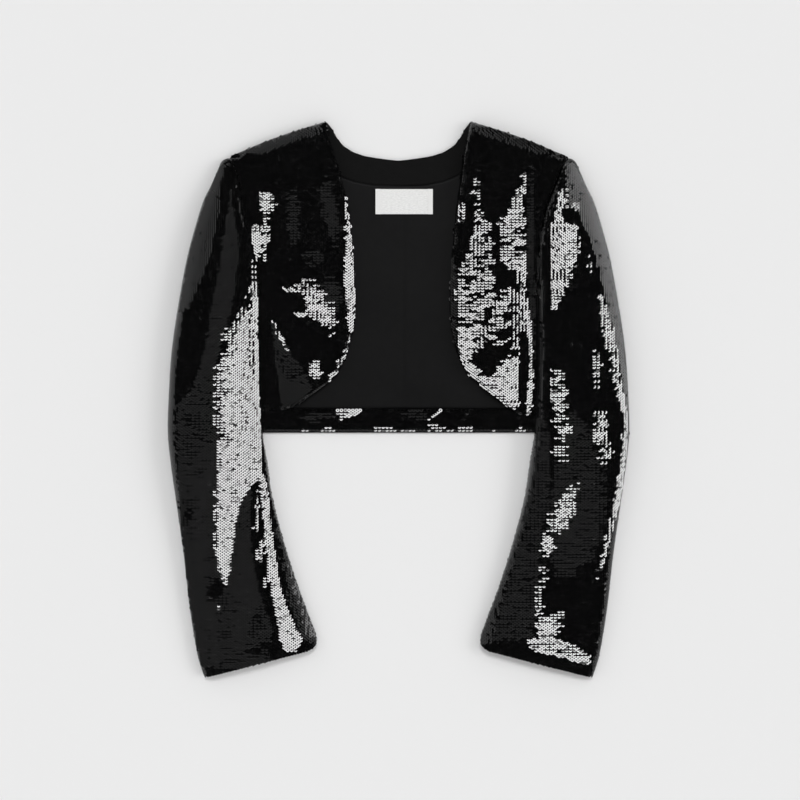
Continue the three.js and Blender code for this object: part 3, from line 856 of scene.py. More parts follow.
@dataclass(kw_only=True)
class Lining(Inlay):
    """The back lining, in soft ripples, with a pleat at pleat_x that is tacked down below the neck."""

    name: str = "back_lining"
    half: float = 148.0
    levels: int = 90
    columns: int = 120
    bottom: float = BAND_TOP_Y + SEAM
    top: float = 290.0
    pleat_x: float = 7.6
    tacked: tuple[float, float] = (235.0, 249.0)
    upper: tuple[tuple[float, float], ...] = (
        (0, 249.2), (30, 250.2), (52, 254.2), (68, 260.2), (80, 269.2), (96, 284), (120, 280), (148, 270),
    )  # fmt: skip

    def edges(self, x: Array) -> tuple[Array | float, Array]:
        """The hem band's upper edge, and the edge under the neck facing and the fronts."""
        return self.bottom, np.interp(x, *zip(*self.upper))

    def height(self, x: Array, y: Array) -> Array:
        """Reads the height of the lining.

        Args:
            x: the points' plan x.
            y: the points' y.

        Returns:
            The height at each point.
        """
        share = smoothstep(y, self.bottom, self.bottom + 30)
        ripple = 0.24 * np.sin(x / 17 + 0.011 * y) + 0.16 * np.sin(x / 7.3 - 0.02 * y + 1)
        ripple += 0.12 * np.sin((x + 2 * y) / 31)
        pleat = 0.5 * smoothstep(x, self.pleat_x - 0.7, self.pleat_x + 0.5)
        pleat *= 1 - smoothstep(x, self.pleat_x, 60)
        tack = 1 - smoothstep(y, *self.tacked)
        return LINING_TOP + ripple * share + pleat * share * tack


@dataclass(kw_only=True)
class NeckFacing(Inlay):
    """The matte facing round the back of the neck."""

    name: str = "back_neck_facing"
    half: float = 89.5
    levels: int = 16
    columns: int = 70
    bottom: float = 249.5
    top: float = 316.0
    lower: tuple[tuple[float, float], ...] = (
        (0, 249.5), (30, 250.5), (52, 254.5), (68, 260.5), (80, 269.5), (90, 287),
    )  # fmt: skip
    upper: tuple[tuple[float, float], ...] = (
        (0, 278.2), (17.5, 280.2), (39, 283.7), (52.5, 288.2), (64.5, 295.7), (72.5, 305.7), (79, 316),
        (90, 308),
    )  # fmt: skip

    def edges(self, x: Array) -> tuple[Array | float, Array]:
        """The seam with the lining, and the neckline."""
        return tuple(np.interp(x, *zip(*edge)) for edge in (self.lower, self.upper))

    def height(self, x: Array, y: Array) -> Array:
        """The height of the facing, with slight ripples."""
        return LINING_TOP + 0.12 * np.sin(x / 14) + 0.1 * np.sin(y / 9 + x / 40)


# ---- Light ---------------------------------------------------------------------------------------


@dataclass(frozen=True)
class Zone:
    """A block of the studio round the jacket, as it looks from the jacket.

    east and north are how far its middle leans from straight up, and half_east and half_north how far
    it reaches either way.
    """

    name: str
    east: float
    north: float
    half_east: float
    half_north: float
    radiance: float
    soft: float = 1.5


CEILING = 0.43
ZONES = (
    Zone("east wall", 64, 0, 24, 89, 0.9, 8),
    Zone("east card", 60, 0, 16, 34, 4.2, 8),
    Zone("west wall", -64, 0, 24, 89, 0.95, 8),
    Zone("south wall", 0, -64, 40, 24, 1.1, 8),
    Zone("dark ceiling over the camera", 0, 3, 13, 13, 0.01, 2),
    Zone("softbox", 0, 26, 8.5, 8.5, 19, 3),
)


class Glint(Enum):
    """What a sequin shows from above: where it sends the eye, east and north, and the spread of that."""

    DARK = (0.0, 5.0, 2.4)
    DIM = (0.0, 48.0, 3.0)
    GREY = (-62.0, 0.0, 6.0)
    HAZE = (60.0, 52.0, 5.0)
    PALE = (60.0, 0.0, 6.0)
    BRIGHT = (0.0, 26.0, 3.5)


class Lie(ABC):
    """A patch, as seen from above, in which a share of the sequins lies so as to show one glint."""

    glint: Glint
    share: float

    @abstractmethod
    def cover(self, x: Array, y: Array) -> Array:
        """How far inside the patch a point is, from 0 to 1."""

    def chance(self, x: Array, y: Array) -> Array:
        """How likely a sequin at a point is to lie this way."""
        return self.share * self.cover(x, y)


@dataclass(frozen=True)
class Spot(Lie):
    """A long or round patch, by its middle, its direction from +X, its half length and half width."""

    glint: Glint
    x: float
    y: float
    turn: float
    long: float
    wide: float
    share: float = 0.9

    def cover(self, x: Array, y: Array) -> Array:
        """Falls from 1 in the middle, soon after the half length or the half width."""
        return np.exp(-Fold(self.x, self.y, self.turn, self.long, self.wide, 0).reach(x, y) ** 4)


class Band(Lie):
    """A patch between a left and a right edge."""

    def __init__(self, glint: Glint, share: float, ragged: tuple[float, float], *rows: Triple) -> None:
        """Draws the two edges.

        Args:
            glint: what the band's sequins show.
            share: how many of them show it.
            ragged: how far in from its left and its right edge the band thins out.
            rows: y, the left x and the right x, with y falling.
        """
        self.glint, self.share = glint, share
        self.ragged = ragged
        self.ends = rows[-1][0], rows[0][0]
        self.left = Profile(*((y, left) for y, left, _ in rows))
        self.right = Profile(*((y, right) for y, _, right in rows))

    def cover(self, x: Array, y: Array) -> Array:
        """Says how far inside the band points are.

        Args:
            x: the points' x.
            y: the points' y.

        Returns:
            A share from 0 outside it to 1 well inside it.
        """
        left, right = self.ragged
        east = smoothstep(x - self.left.straight(y), -SHARP, left)
        west = smoothstep(self.right.straight(y) - x, -SHARP, right)
        return east * west * ((y >= self.ends[0]) & (y <= self.ends[1]))


DARK, DIM, GREY, HAZE, PALE, BRIGHT = Glint
SHARP = 0.8  # how far in from a clean edge a patch thins out
GENTLE = (26.0, 40.0)  # the cloth's slope from which its sequins start and stop following it
STEEP = 60.0  # the slope beyond which all sequins follow it

LIES = {
    "sleeve_top_left": (
        Band(
            GREY, 0.97, (SHARP, 3),
            (274, -206, -200), (250, -219, -208), (215, -231, -210), (160, -248, -222), (100, -258, -248),
        ),
        Band(
            DIM, 0.97, (4, 3),
            (246, -198, -197), (197, -206, -189), (162, -210, -188), (127, -217, -191), (80, -225, -202),
            (45, -231, -212), (10, -243, -212), (-7, -262, -210), (-118, -258, -208), (-188, -251, -208),
            (-225, -247, -196), (-312, -232, -196),
        ),
        Band(
            DIM, 0.97, (2, 4),
            (-100, -173, -170), (-129, -190, -172), (-188, -200, -170), (-234, -208, -158),
            (-269, -214, -146), (-314, -216, -150),
        ),
        Spot(DARK, -236, -40, 90, 60, 20, 0.3),
        Spot(DARK, -240, -120, 90, 50, 14, 0.12),
        Spot(DARK, -205, -262, 95, 34, 10, 0.28),
        Spot(DARK, -164, -262, 80, 26, 10, 0.3),
        Spot(DARK, -196, -300, 12, 30, 8, 0.22),
        Spot(DARK, -213, -222, 90, 14, 12, 0.97),
        Spot(DARK, -244, -132, 80, 14, 7, 0.8),
        Spot(DARK, -158, -292, 12, 24, 7, 0.8),
        Band(
            DARK, 0.97, (2, SHARP),
            (279, -201, -193), (262, -194, -184), (237, -189, -178), (200, -182, -172), (160, -172, -163),
            (60, -166, -158), (-90, -162, -150), (-150, -152, -140),
        ),
        Band(
            HAZE, 0.97, (12, SHARP),
            (-110, -149, -142), (-188, -141, -127), (-234, -131, -112), (-275, -118, -95), (-288, -106, -95),
        ),
        Band(
            PALE, 0.7, (7, SHARP),
            (-170, -136, -131), (-234, -122, -112), (-272, -109, -95), (-280, -104, -95),
        ),
        Band(
            BRIGHT, 0.997, (27, 1.5),
            (168, -177, -170), (139, -181, -167), (115, -188, -165), (92, -199, -164), (80, -210, -164),
            (57, -212, -164), (34, -220, -164), (-1, -222, -163), (-36, -220, -162), (-48, -216, -161),
        ),
        Band(
            BRIGHT, 0.997, (8, 1.5),
            (-48, -217, -161), (-71, -213, -160), (-90, -216, -162), (-106, -216, -176), (-118, -217, -184),
            (-141, -218, -190), (-188, -217, -195), (-205, -212, -198), (-218, -206, -200),
        ),
        Band(
            BRIGHT, 0.99, (1.5, SHARP),
            (-88, -163, -157), (-118, -161, -153), (-141, -160, -150), (-188, -154, -144),
            (-211, -151, -140), (-234, -147, -135), (-257, -143, -124), (-269, -140, -119),
            (-281, -138, -112), (-294, -133, -120),
        ),
        Spot(DARK, -173, 66, 91, 46, 3.5, 0.4),
        Spot(BRIGHT, -166, -128, 88, 24, 3, 0.6),
        Spot(BRIGHT, -161, -178, 80, 14, 4, 0.7),
        Spot(BRIGHT, -155, -212, 70, 16, 3.5, 0.6),
        Spot(BRIGHT, -211, -243, 90, 2.5, 2.5),
    ),
    "sleeve_top_right": (
        Band(
            DIM, 0.7, (2, 4),
            (267, 163, 169), (-20, 162, 170), (-48, 161, 179), (-94, 157, 180), (-141, 145, 171),
            (-188, 135, 168), (-234, 122, 165), (-281, 108, 159),
        ),
        Band(
            DIM, 0.72, (14, 14),
            (-15, 190, 212), (-30, 184, 226), (-60, 180, 242), (-118, 170, 250), (-170, 166, 240),
            (-190, 170, 228), (-208, 182, 206),
        ),
        Band(
            GREY, 0.97, (SHARP, 9),
            (-106, 146, 151), (-150, 136, 146), (-188, 125, 137), (-234, 109, 124), (-286, 95, 109),
        ),
        Band(
            PALE, 0.97, (2, SHARP),
            (275, 196, 204), (250, 197, 217), (230, 200, 228), (212, 213, 234), (185, 225, 241),
            (150, 235, 248), (100, 246, 257), (50, 255, 263), (10, 262, 267), (-10, 266, 269),
        ),
        Band(
            BRIGHT, 0.78, (1.5, 9),
            (245, 189, 199), (220, 184, 200), (209, 181, 198), (203, 179, 213), (185, 178, 214),
            (162, 178, 212), (139, 178, 202), (115, 178, 194), (104, 180, 187),
        ),
        Spot(DARK, 203, 214, 0, 11, 10, 0.9),
        Spot(BRIGHT, 206, 224, 0, 9, 4, 0.4),
        Band(
            BRIGHT, 0.8, (5, 2),
            (122, 232, 238), (92, 234, 249), (69, 236, 253), (50, 245, 257), (22, 248, 260),
            (-1, 255, 265), (-25, 261, 268), (-71, 258, 266), (-94, 253, 263), (-118, 249, 259),
            (-164, 240, 248), (-211, 230, 234),
        ),
        Spot(BRIGHT, 222, 155, 90, 14, 5, 0.35),
        Spot(BRIGHT, 231, 32, 90, 21, 5, 0.5),
        Spot(BRIGHT, 236, -35, 90, 20, 9, 0.7),
        Spot(BRIGHT, 241, -60, 90, 14, 8, 0.5),
        Spot(BRIGHT, 188, 3, 90, 34, 9, 0.66),
        Spot(BRIGHT, 195, -34, 0, 9, 6, 0.7),
        Spot(BRIGHT, 190, -56, 90, 20, 9, 0.3),
        Spot(BRIGHT, 194, -130, 68, 30, 11, 0.8),
        Spot(BRIGHT, 179, -143, 0, 6, 5, 0.6),
        Spot(BRIGHT, 174, -170, 86, 15, 8, 0.9),
        Spot(BRIGHT, 170, -205, 80, 16, 6, 0.3),
        Spot(BRIGHT, 165, -238, 90, 16, 6, 0.75),
        Spot(BRIGHT, 175, -267, 90, 17, 14, 0.97),
        Spot(BRIGHT, 191, -256, 90, 9, 5, 0.6),
        Band(
            BRIGHT, 0.78, (3, 3),
            (-279, 150, 186), (-287, 150, 206), (-293, 154, 217), (-298, 174, 223), (-304, 197, 225),
            (-310, 214, 223),
        ),
    ),
    "front_left": (
        Band(
            GREY, 0.9, (4, 4),
            (318, -106, -86), (310, -130, -92), (304, -146, -112), (296, -168, -134), (287, -186, -158),
        ),
        Spot(DIM, -80, 220, 99, 36, 8, 0.9),
        Spot(DIM, -123, 214, 90, 30, 8, 0.6),
        Spot(DIM, -98, 166, 0, 14, 8, 0.5),
        Spot(DIM, -78, 122, 90, 22, 11, 0.85),
        Band(
            DIM, 0.97, (1.5, 3),
            (92, -148, -143), (57, -144, -126), (34, -142, -110), (12, -139, -100), (-8, -136, -118),
        ),
        Spot(DARK, -126, 40, 118, 26, 10, 0.3),
        Band(
            DARK, 0.9, (3, SHARP),
            (322, -90, -78), (298, -86, -74), (283, -81, -69), (267, -76, -64), (232, -68, -56),
        ),
        Band(DARK, 0.97, (3, 1.5), (158, -166, -150), (92, -166, -149), (34, -166, -142), (-20, -166, -137)),
        Spot(BRIGHT, -154, 232, 90, 12, 9),
        Spot(BRIGHT, -167, 200, 0, 6, 5, 0.6),
        Band(
            BRIGHT, 0.985, (SHARP, 2),
            (196, -171, -161), (180, -170, -161), (168, -168, -162), (160, -166, -163),
        ),
        Spot(BRIGHT, -157, 190, 86, 22, 6, 0.6),
        Spot(BRIGHT, -93, 110, 124, 32, 15, 0.66),
        Spot(BRIGHT, -88, 102, 124, 16, 8, 0.9),
        Spot(BRIGHT, -128, 127, 0, 7, 3, 0.8),
        Spot(BRIGHT, -116, 100, 0, 10, 2.5, 0.8),
        Spot(BRIGHT, -138, 76, 118, 20, 2.6, 0.8),
        Spot(BRIGHT, -96, 34, 100, 10, 7.5),
        Spot(BRIGHT, -77, 28, 45, 8, 4.5),
        Spot(BRIGHT, -68, 44, 50, 6.5, 4.5),
        Spot(BRIGHT, -62, 56, 60, 5.5, 4.5),
        Spot(BRIGHT, -59, 70, 80, 3.5, 3.5, 0.8),
        Band(
            BRIGHT, 0.62, (SHARP, SHARP),
            (236, -64, -59), (218, -65, -58), (208, -62, -56), (186, -63, -55),
        ),
        Band(
            BRIGHT, 0.98, (1.5, SHARP),
            (186, -62, -55), (174, -62, -53), (144, -63, -53), (115, -61.5, -51), (92, -60.5, -50),
            (78, -59, -52),
        ),
    ),
    "front_right": (
        Band(
            GREY, 0.9, (4, 4),
            (318, 86, 106), (310, 92, 130), (304, 112, 146), (296, 134, 168), (287, 158, 186),
        ),
        Spot(DIM, 65, 125, 91, 62, 3, 0.9),
        Spot(DIM, 155, 150, 90, 120, 4, 0.9),
        Spot(BRIGHT, 75, 217, 90, 10, 3.8, 0.7),
        Band(
            BRIGHT, 0.38, (4, 5),
            (259, 87, 94), (243, 83, 99), (222, 84, 98), (203, 87, 110), (185, 82, 112), (162, 75, 112),
            (148, 68, 113), (128, 67, 137), (115, 67, 149),
        ),
        Band(
            BRIGHT, 0.46, (3, 4),
            (128, 67, 137), (115, 67, 149), (92, 69, 150), (80, 70, 148), (69, 70.5, 147), (57, 72, 143),
            (45, 74, 142),
        ),
        Band(
            BRIGHT, 0.9, (SHARP, 18),
            (84, 68, 96), (69, 70, 98), (45, 74, 96), (27, 83, 112), (13, 95, 118), (6, 103, 118),
        ),
        Band(
            BRIGHT, 0.9, (12, 12),
            (46, 120, 150), (27, 100, 147), (13, 93, 146), (-1, 112, 145), (-13, 132, 143),
        ),
        Band(
            BRIGHT, 0.55, (6, 2),
            (268, 143, 150), (248, 140, 150), (232, 130, 147), (220, 128, 147), (209, 115, 148),
            (162, 117, 149), (144, 134, 149), (115, 139, 150),
        ),
        Spot(BRIGHT, 131, 206, 80, 20, 8, 0.8),
        Spot(BRIGHT, 145, 140, 90, 50, 4, 0.8),
        Spot(DARK, 117, 145, 90, 26, 4, 0.8),
        Spot(DARK, 112, 128, 20, 14, 3, 0.8),
        Spot(DARK, 104, 96, 80, 10, 4, 0.7),
        Spot(DARK, 124, 76, 30, 12, 4, 0.85),
        Spot(DARK, 108, 51, 22, 23, 10, 0.985),
        Spot(DARK, 101, 31, 8, 10, 4, 0.8),
        Spot(DARK, 146, 30, 92, 46, 4.5, 0.97),
        Band(
            BRIGHT, 0.9, (1.5, 1.5),
            (115, 141, 151), (92, 147, 155), (69, 151, 157), (29, 151, 158), (-3, 149, 157), (-18, 148, 154),
        ),
    ),
    "back_hem_facing": (
        Spot(DIM, -99, -20, 0, 19, 6, 0.7),
        Spot(DIM, 22, -18, 0, 14, 6, 0.5),
        Spot(BRIGHT, -56, -15, 0, 13, 5.5),
        Spot(BRIGHT, -67, -20, 90, 6, 3, 0.85),
        Spot(BRIGHT, 43, -18, 38, 9, 2.2, 0.8),
        Spot(BRIGHT, 39, -31, 0, 5, 4, 0.7),
        Spot(BRIGHT, 15, -35, 0, 145, 2.6, 0.36),
    ),
}

CAMERA_AT = np.array((1.75, -1.165, 2599.0))
CAMERA_LENS = 100.0
CAMERA_SENSOR = 36.0


def toward(east: Array, north: Array) -> Array:
    """The direction that leans so far from straight up."""
    return unit(np.stack([np.tan(np.radians(east)), np.tan(np.radians(north)), np.ones_like(east)], -1))


@dataclass
class Scatter:
    """Sequins as arrays: middles, normals and how light each one is made."""

    centre: Array
    normal: Array
    tone: Array

    @staticmethod
    def joined(parts: list["Scatter"]) -> "Scatter":
        """Several lots as one."""
        keys = ("centre", "normal", "tone")
        return Scatter(*(np.concatenate([getattr(part, key) for part in parts]) for key in keys))

    def rested(self) -> "Scatter":
        """Lifts the sequins that would reach below the surface.

        Returns:
            The same sequins, all of them above it.
        """
        lowest = SEQUIN_RADIUS * np.hypot(self.normal[:, 0], self.normal[:, 1]) + CLEARANCE
        centre = self.centre.copy()
        centre[:, 2] = np.maximum(centre[:, 2], lowest)
        return Scatter(centre, self.normal, self.tone)


def tilted(normal: Array, rng: np.random.Generator) -> Array:
    """Leans each sequin on the one below it, towards the neck, with a little disorder.

    Args:
        normal: which way the cloth points at each sequin.
        rng: the random numbers to draw from.

    Returns:
        Which way each sequin points.
    """
    north = np.array((0.0, 1.0, 0.0))
    lean = math.sin(math.radians(SHINGLE))
    disorder = rng.normal(0, math.radians(DISORDER), normal.shape)
    return unit(normal + lean * (north - normal * normal[:, 1:2]) + disorder)


def seen(points: Array) -> tuple[Array, Array]:
    """Where points show on the surface, as seen by the camera."""
    drop = CAMERA_AT[2] / (CAMERA_AT[2] - points[:, 2])
    return tuple(mix(CAMERA_AT[k], points[:, k], drop) for k in (0, 1))


def waver(x: Array, row: Array, rng: np.random.Generator) -> Array:
    """Draws a number for each sequin, alike along a row and higher in every other row.

    Args:
        x: the sequins' plan x.
        row: the number of each sequin's row.
        rng: the random numbers to draw from.

    Returns:
        Numbers from 0 to 1, evenly spread.
    """
    phase = rng.uniform(0, 2 * math.pi, (2, row.max() + 1))[:, row]
    swing = 0.6 * (row % 2) + 0.3 * np.sin(x / 13 + phase[0]) + 0.26 * np.sin(x / 5.1 + phase[1])
    swing += rng.normal(0, 0.14, x.shape)
    return (swing.argsort().argsort() + 0.5) / len(x)


def laid(panel: Panel, rng: np.random.Generator) -> Scatter:
    """Lays the sequins of a panel, so that each shows the glint of the last patch that it is in.

    Args:
        panel: the piece of cloth.
        rng: the random numbers to draw from.

    Returns:
        The sequins.
    """
    x, y, row = panel.sequins()
    chance = waver(x, row, rng)
    x = x + rng.normal(0, ASTRAY[0], x.shape)
    y = y + rng.normal(0, ASTRAY[1], y.shape)
    face = panel.normal(x, y)
    centre = panel.placed(x, y, panel.height(x, y))
    normal = tilted(face, rng)
    if panel.name in LIES:
        slope = np.degrees(np.arccos(face[:, 2]))
        gentle = rng.random(len(x)) < 1 - smoothstep(slope, *GENTLE)
        chosen = {glint: gentle & (glint is DARK) for glint in Glint}
        for patch in LIES[panel.name]:
            inside = (chance < patch.chance(*seen(centre))) & (slope < STEEP)
            for glint in Glint:
                chosen[glint] = chosen[glint] & ~inside | (inside & (glint is patch.glint))
        for glint, mask in chosen.items():
            east, north, spread = glint.value
            count = int(mask.sum())
            target = toward(east + rng.normal(0, spread, count), north + rng.normal(0, spread, count))
            normal[mask] = unit(unit(CAMERA_AT - centre[mask]) + target)
    return Scatter(centre, normal, rng.random(len(x)))


def hem_roll(rng: np.random.Generator) -> Scatter:
    """Lays the rows of sequins that wrap round the fold of the back's hem.

    Args:
        rng: the random numbers to draw from.

    Returns:
        The sequins.
    """
    radius, middle = (BAND_TOP - SEQUIN_FOOT) / 2, (BAND_TOP + SEQUIN_FOOT) / 2
    parts = []
    for index, turn in enumerate(HEM_TURNS):
        x = np.arange(-BODY_HALF + 3 + PITCH / 2 * (index % 2), BODY_HALF - 2, PITCH)
        angle = math.radians(turn)
        centre = np.stack([
            x,
            np.full(len(x), HEM_Y + radius - radius * math.cos(angle)),
            np.full(len(x), middle + radius * math.sin(angle)),
        ], -1)
        face = np.tile((0.0, -math.cos(angle), math.sin(angle)), (len(x), 1))
        parts.append(Scatter(centre, unit(face + rng.normal(0, 0.03, face.shape)), rng.random(len(x))))
    return Scatter.joined(parts)


# ---- Meshes --------------------------------------------------------------------------------------


def fresh() -> None:
    """Leaves nothing selected, so that an operator works on the object that it adds."""
    bpy.ops.object.select_all(action="DESELECT")


def paint(obj: bpy.types.Object, *materials: Material) -> None:
    """Gives an object its materials.

    Args:
        obj: the mesh object.
        materials: its materials, in the order of its slots.
    """
    obj.data.materials.clear()
    for material in materials:
        obj.data.materials.append(material)


def apply_modifiers(obj: bpy.types.Object) -> None:
    """Applies every modifier of an object, in order.

    Args:
        obj: the mesh object.
    """
    fresh()
    bpy.context.view_layer.objects.active = obj
    obj.select_set(True)
    for modifier in list(obj.modifiers):
        bpy.ops.object.modifier_apply(modifier=modifier.name)


def cloth_shell(name: str, points: Array, faces_up: bool, materials: Faces) -> bpy.types.Object:
    """Builds a closed shell of cloth on a grid of points.

    Args:
        name: the object's name.
        points: rows by columns by 3, the outer face in millimetres, with y rising from row to row.
        faces_up: whether the outer face points up.
        materials: those of the outer and the inner face.

    Returns:
        The shell, with its modifiers applied.
    """
    rows, columns, _ = points.shape
    a, b = points[1:, :-1] - points[:-1, :-1], points[:-1, 1:] - points[:-1, :-1]
    if (np.cross(b, a)[..., 2].sum() > 0) != faces_up:
        points = points[:, ::-1]
    fresh()
    bpy.ops.mesh.primitive_grid_add(x_subdivisions=columns - 1, y_subdivisions=rows - 1, size=1)
    shell = bpy.context.active_object
    shell.name = shell.data.name = name
    shell.data.vertices.foreach_set("co", (points * MM).astype(np.float32).ravel())
    loops = np.zeros(len(shell.data.loops), np.int32)
    shell.data.loops.foreach_get("vertex_index", loops)
    flat = points.reshape(-1, 3)[loops, :2] * MM
    shell.data.uv_layers.active.data.foreach_set("uv", flat.astype(np.float32).ravel())
    shell.data.update()
    paint(shell, *materials)
    solid = shell.modifiers.new("Wall", "SOLIDIFY")
    solid.thickness = CLOTH * MM
    solid.offset = -1
    solid.material_offset = 1
    apply_modifiers(shell)
    shell.data.polygons.foreach_set("use_smooth", [True] * len(shell.data.polygons))
    return shell


def sequin_mesh(name: str, lot: Scatter, sides: int, material: Material) -> bpy.types.Object:
    """Builds a lot of sequins as one mesh of flat discs.

    Args:
        name: the object's name.
        lot: the sequins.
        sides: how many sides each disc has.
        material: the sequins' material.

    Returns:
        The mesh object, with a UV circle on each disc and its tone as a face attribute.
    """
    count = len(lot.centre)
    angle = np.arange(sides) * 2 * math.pi / sides
    first = unit(np.cross((0.0, 1.0, 0.0), lot.normal))
    second = np.cross(lot.normal, first)
    ring = np.cos(angle)[None, :, None] * first[:, None] + np.sin(angle)[None, :, None] * second[:, None]
    corners = (lot.centre[:, None] + SEQUIN_RADIUS * ring) * MM
    mesh = bpy.data.meshes.new(name)
    mesh.from_pydata(corners.reshape(-1, 3), [], np.arange(count * sides).reshape(count, sides).tolist())
    disc = 0.5 + 0.5 * np.stack([np.cos(angle), np.sin(angle)], -1)
    mesh.uv_layers.new(name="Disc").data.foreach_set("uv", np.tile(disc.ravel(), count).astype(np.float32))
    mesh.attributes.new("tone", "FLOAT", "FACE").data.foreach_set("value", lot.tone.astype(np.float32))
    mesh.materials.append(material)
    obj = bpy.data.objects.new(name, mesh)
    bpy.context.scene.collection.objects.link(obj)
    return obj


# ---- Materials -----------------------------------------------------------------------------------


@dataclass
class Graph:
    """Adds nodes to one tree, each beside the last, and links them."""

    tree: bpy.types.NodeTree
    place: int = 0
    step: int = 190

    def add(self, kind: str, inputs: dict | None = None, **settings: object) -> Node:
        """Adds a node.

        Args:
            kind: its type.
            inputs: its inputs by name or number, each a socket to link or a plain value.
            settings: its properties.

        Returns:
            The node.
        """
        node = self.tree.nodes.new(kind)
        node.location = (self.place, 0)
        self.place += self.step
        for key, value in settings.items():
            setattr(node, key, value)
        for key, value in (inputs or {}).items():
            self.feed(node.inputs[key], value)
        return node

    def feed(self, socket: Socket, value: object) -> None:
        """Links an input to a socket, or sets it to a plain value.

        Args:
            socket: the input.
            value: the socket or the plain value.
        """
        if isinstance(value, Socket):
            self.tree.links.new(value, socket)
        else:
            socket.default_value = value

    def math(self, operation: str, a: object, b: object = 0.0) -> Socket:
        """One sum of two values."""
        return self.add("ShaderNodeMath", {0: a, 1: b}, operation=operation).outputs[0]

    def ramp(self, value: object, start: object, end: object, low: float = 0.0, high: float = 1.0) -> Socket:
        """A value read smoothly from start to end as low to high."""
        inputs = {"Value": value, "From Min": start, "From Max": end, "To Min": low, "To Max": high}
        return self.add("ShaderNodeMapRange", inputs, interpolation_type="SMOOTHSTEP").outputs["Result"]

    def blend(self, factor: object, a: object, b: object) -> Socket:
        """Goes from value a to value b."""
        return self.add("ShaderNodeMix", {0: factor, 2: a, 3: b}, data_type="FLOAT").outputs[0]

    def tint(self, factor: object, a: object, b: object) -> Socket:
        """Goes from colour a to colour b."""
        return self.add("ShaderNodeMix", {0: factor, 6: a, 7: b}, data_type="RGBA").outputs[2]


class GroupMaker:
    """Builds the shader node groups that more than one tree uses."""

    @staticmethod
    def start(name: str, takes: dict[str, float | tuple], gives: tuple[str, ...]) -> tuple[Graph, Node, Node]:
        """Starts a group.

        Args:
            name: its name.
            takes: its inputs and their defaults.
            gives: its outputs.

        Returns:
            Its tree, with the nodes that stand for its inputs and for its outputs.
        """
        tree = bpy.data.node_groups.new(name, "ShaderNodeTree")
        for key, default in takes.items():
            kind = "NodeSocketVector" if isinstance(default, tuple) else "NodeSocketFloat"
            socket = tree.interface.new_socket(key, in_out="INPUT", socket_type=kind)
            socket.default_value = default
        for key in gives:
            tree.interface.new_socket(key, in_out="OUTPUT", socket_type="NodeSocketFloat")
        graph = Graph(tree)
        return graph, graph.add("NodeGroupInput"), graph.add("NodeGroupOutput")

    @classmethod
    def block(cls) -> bpy.types.NodeTree:
        """Builds a mask of a block of directions.

        Returns:
            The group, whose mask is 1 inside the block and 0 outside it.
        """
        takes = {"East": 0.0, "North": 0.0, "Middle East": 0.0, "Middle North": 0.0,
                 "Half East": 10.0, "Half North": 10.0, "Soft": 1.0}  # fmt: skip
        graph, given, result = cls.start("Studio Block", takes, ("Mask",))
        masks = []
        for way in ("East", "North"):
            lean = graph.math("SUBTRACT", given.outputs[way], given.outputs[f"Middle {way}"])
            off = graph.math("ABSOLUTE", lean)
            inside = graph.math("SUBTRACT", given.outputs[f"Half {way}"], off)
            masks.append(graph.ramp(inside, 0.0, given.outputs["Soft"]))
        graph.tree.links.new(graph.math("MULTIPLY", *masks), result.inputs["Mask"])
        return graph.tree

    @classmethod
    def weave(cls) -> bpy.types.NodeTree:
        """Builds a fine over-and-under weave.

        Returns:
            The group, with the weave's height and a patchiness that is coarser than its threads.
        """
        takes = {"Vector": (0.0, 0.0, 0.0), "Threads": 2500.0, "Unevenness": 0.3}
        graph, given, result = cls.start("Fine Weave", takes, ("Height", "Patchiness"))
        spread = {0: given.outputs["Vector"], "Scale": given.outputs["Threads"]}
        scaled = graph.add("ShaderNodeVectorMath", spread, operation="SCALE")
        split = graph.add("ShaderNodeSeparateXYZ", {0: scaled.outputs[0]})
        across, along = (graph.math("SINE", split.outputs[k]) for k in (0, 1))
        woven = graph.math("MULTIPLY", across, along)
        grain = {"Vector": given.outputs["Vector"], "Scale": 90.0, "Detail": 3.0}
        noise = graph.add("ShaderNodeTexNoise", grain)
        uneven = graph.math("MULTIPLY", noise.outputs["Fac"], given.outputs["Unevenness"])
        height = graph.math("ADD", graph.math("MULTIPLY_ADD", woven, 0.5), uneven)
        graph.tree.links.new(height, result.inputs["Height"])
        graph.tree.links.new(noise.outputs["Fac"], result.inputs["Patchiness"])
        return graph.tree

    @classmethod
    def disc(cls) -> bpy.types.NodeTree:
        """Builds a sequin's own marks on its UV circle.

        Returns:
            The group, with masks of the stitch that holds the sequin and of its pressed rim.
        """
        graph, given, result = cls.start("Sequin Disc", {"Vector": (0.0, 0.0, 0.0)}, ("Stitch", "Rim"))
        marks = (("Stitch", STITCH_AT, STITCH_RADIUS, 1.0), ("Rim", (0.5, 0.5, 0.0), RIM_RADIUS, 0.0))
        for key, middle, edge, inside in marks:
            ends = {0: given.outputs["Vector"], 1: middle}
            off = graph.add("ShaderNodeVectorMath", ends, operation="DISTANCE")
            radius = graph.math("MULTIPLY", off.outputs["Value"], 2.0)
            mask = graph.ramp(radius, edge - MARK_SOFT, edge + MARK_SOFT, inside, 1 - inside)
            graph.tree.links.new(mask, result.inputs[key])
        return graph.tree


@dataclass(frozen=True)
class Spangle:
    """The finish of a sequin: its gloss differs a little from one to the next, and its rim is duller."""

    name: str
    color: Triple
    ior: float
    gloss: tuple[float, float]
    rim: float


@dataclass(frozen=True)
class Woven:
    """The finish of a plain woven cloth, which is uneven by a share of its colour."""

    name: str
    color: Triple
    roughness: float
    specular: float
    threads: float
    bump: float
    uneven: float = 0.2


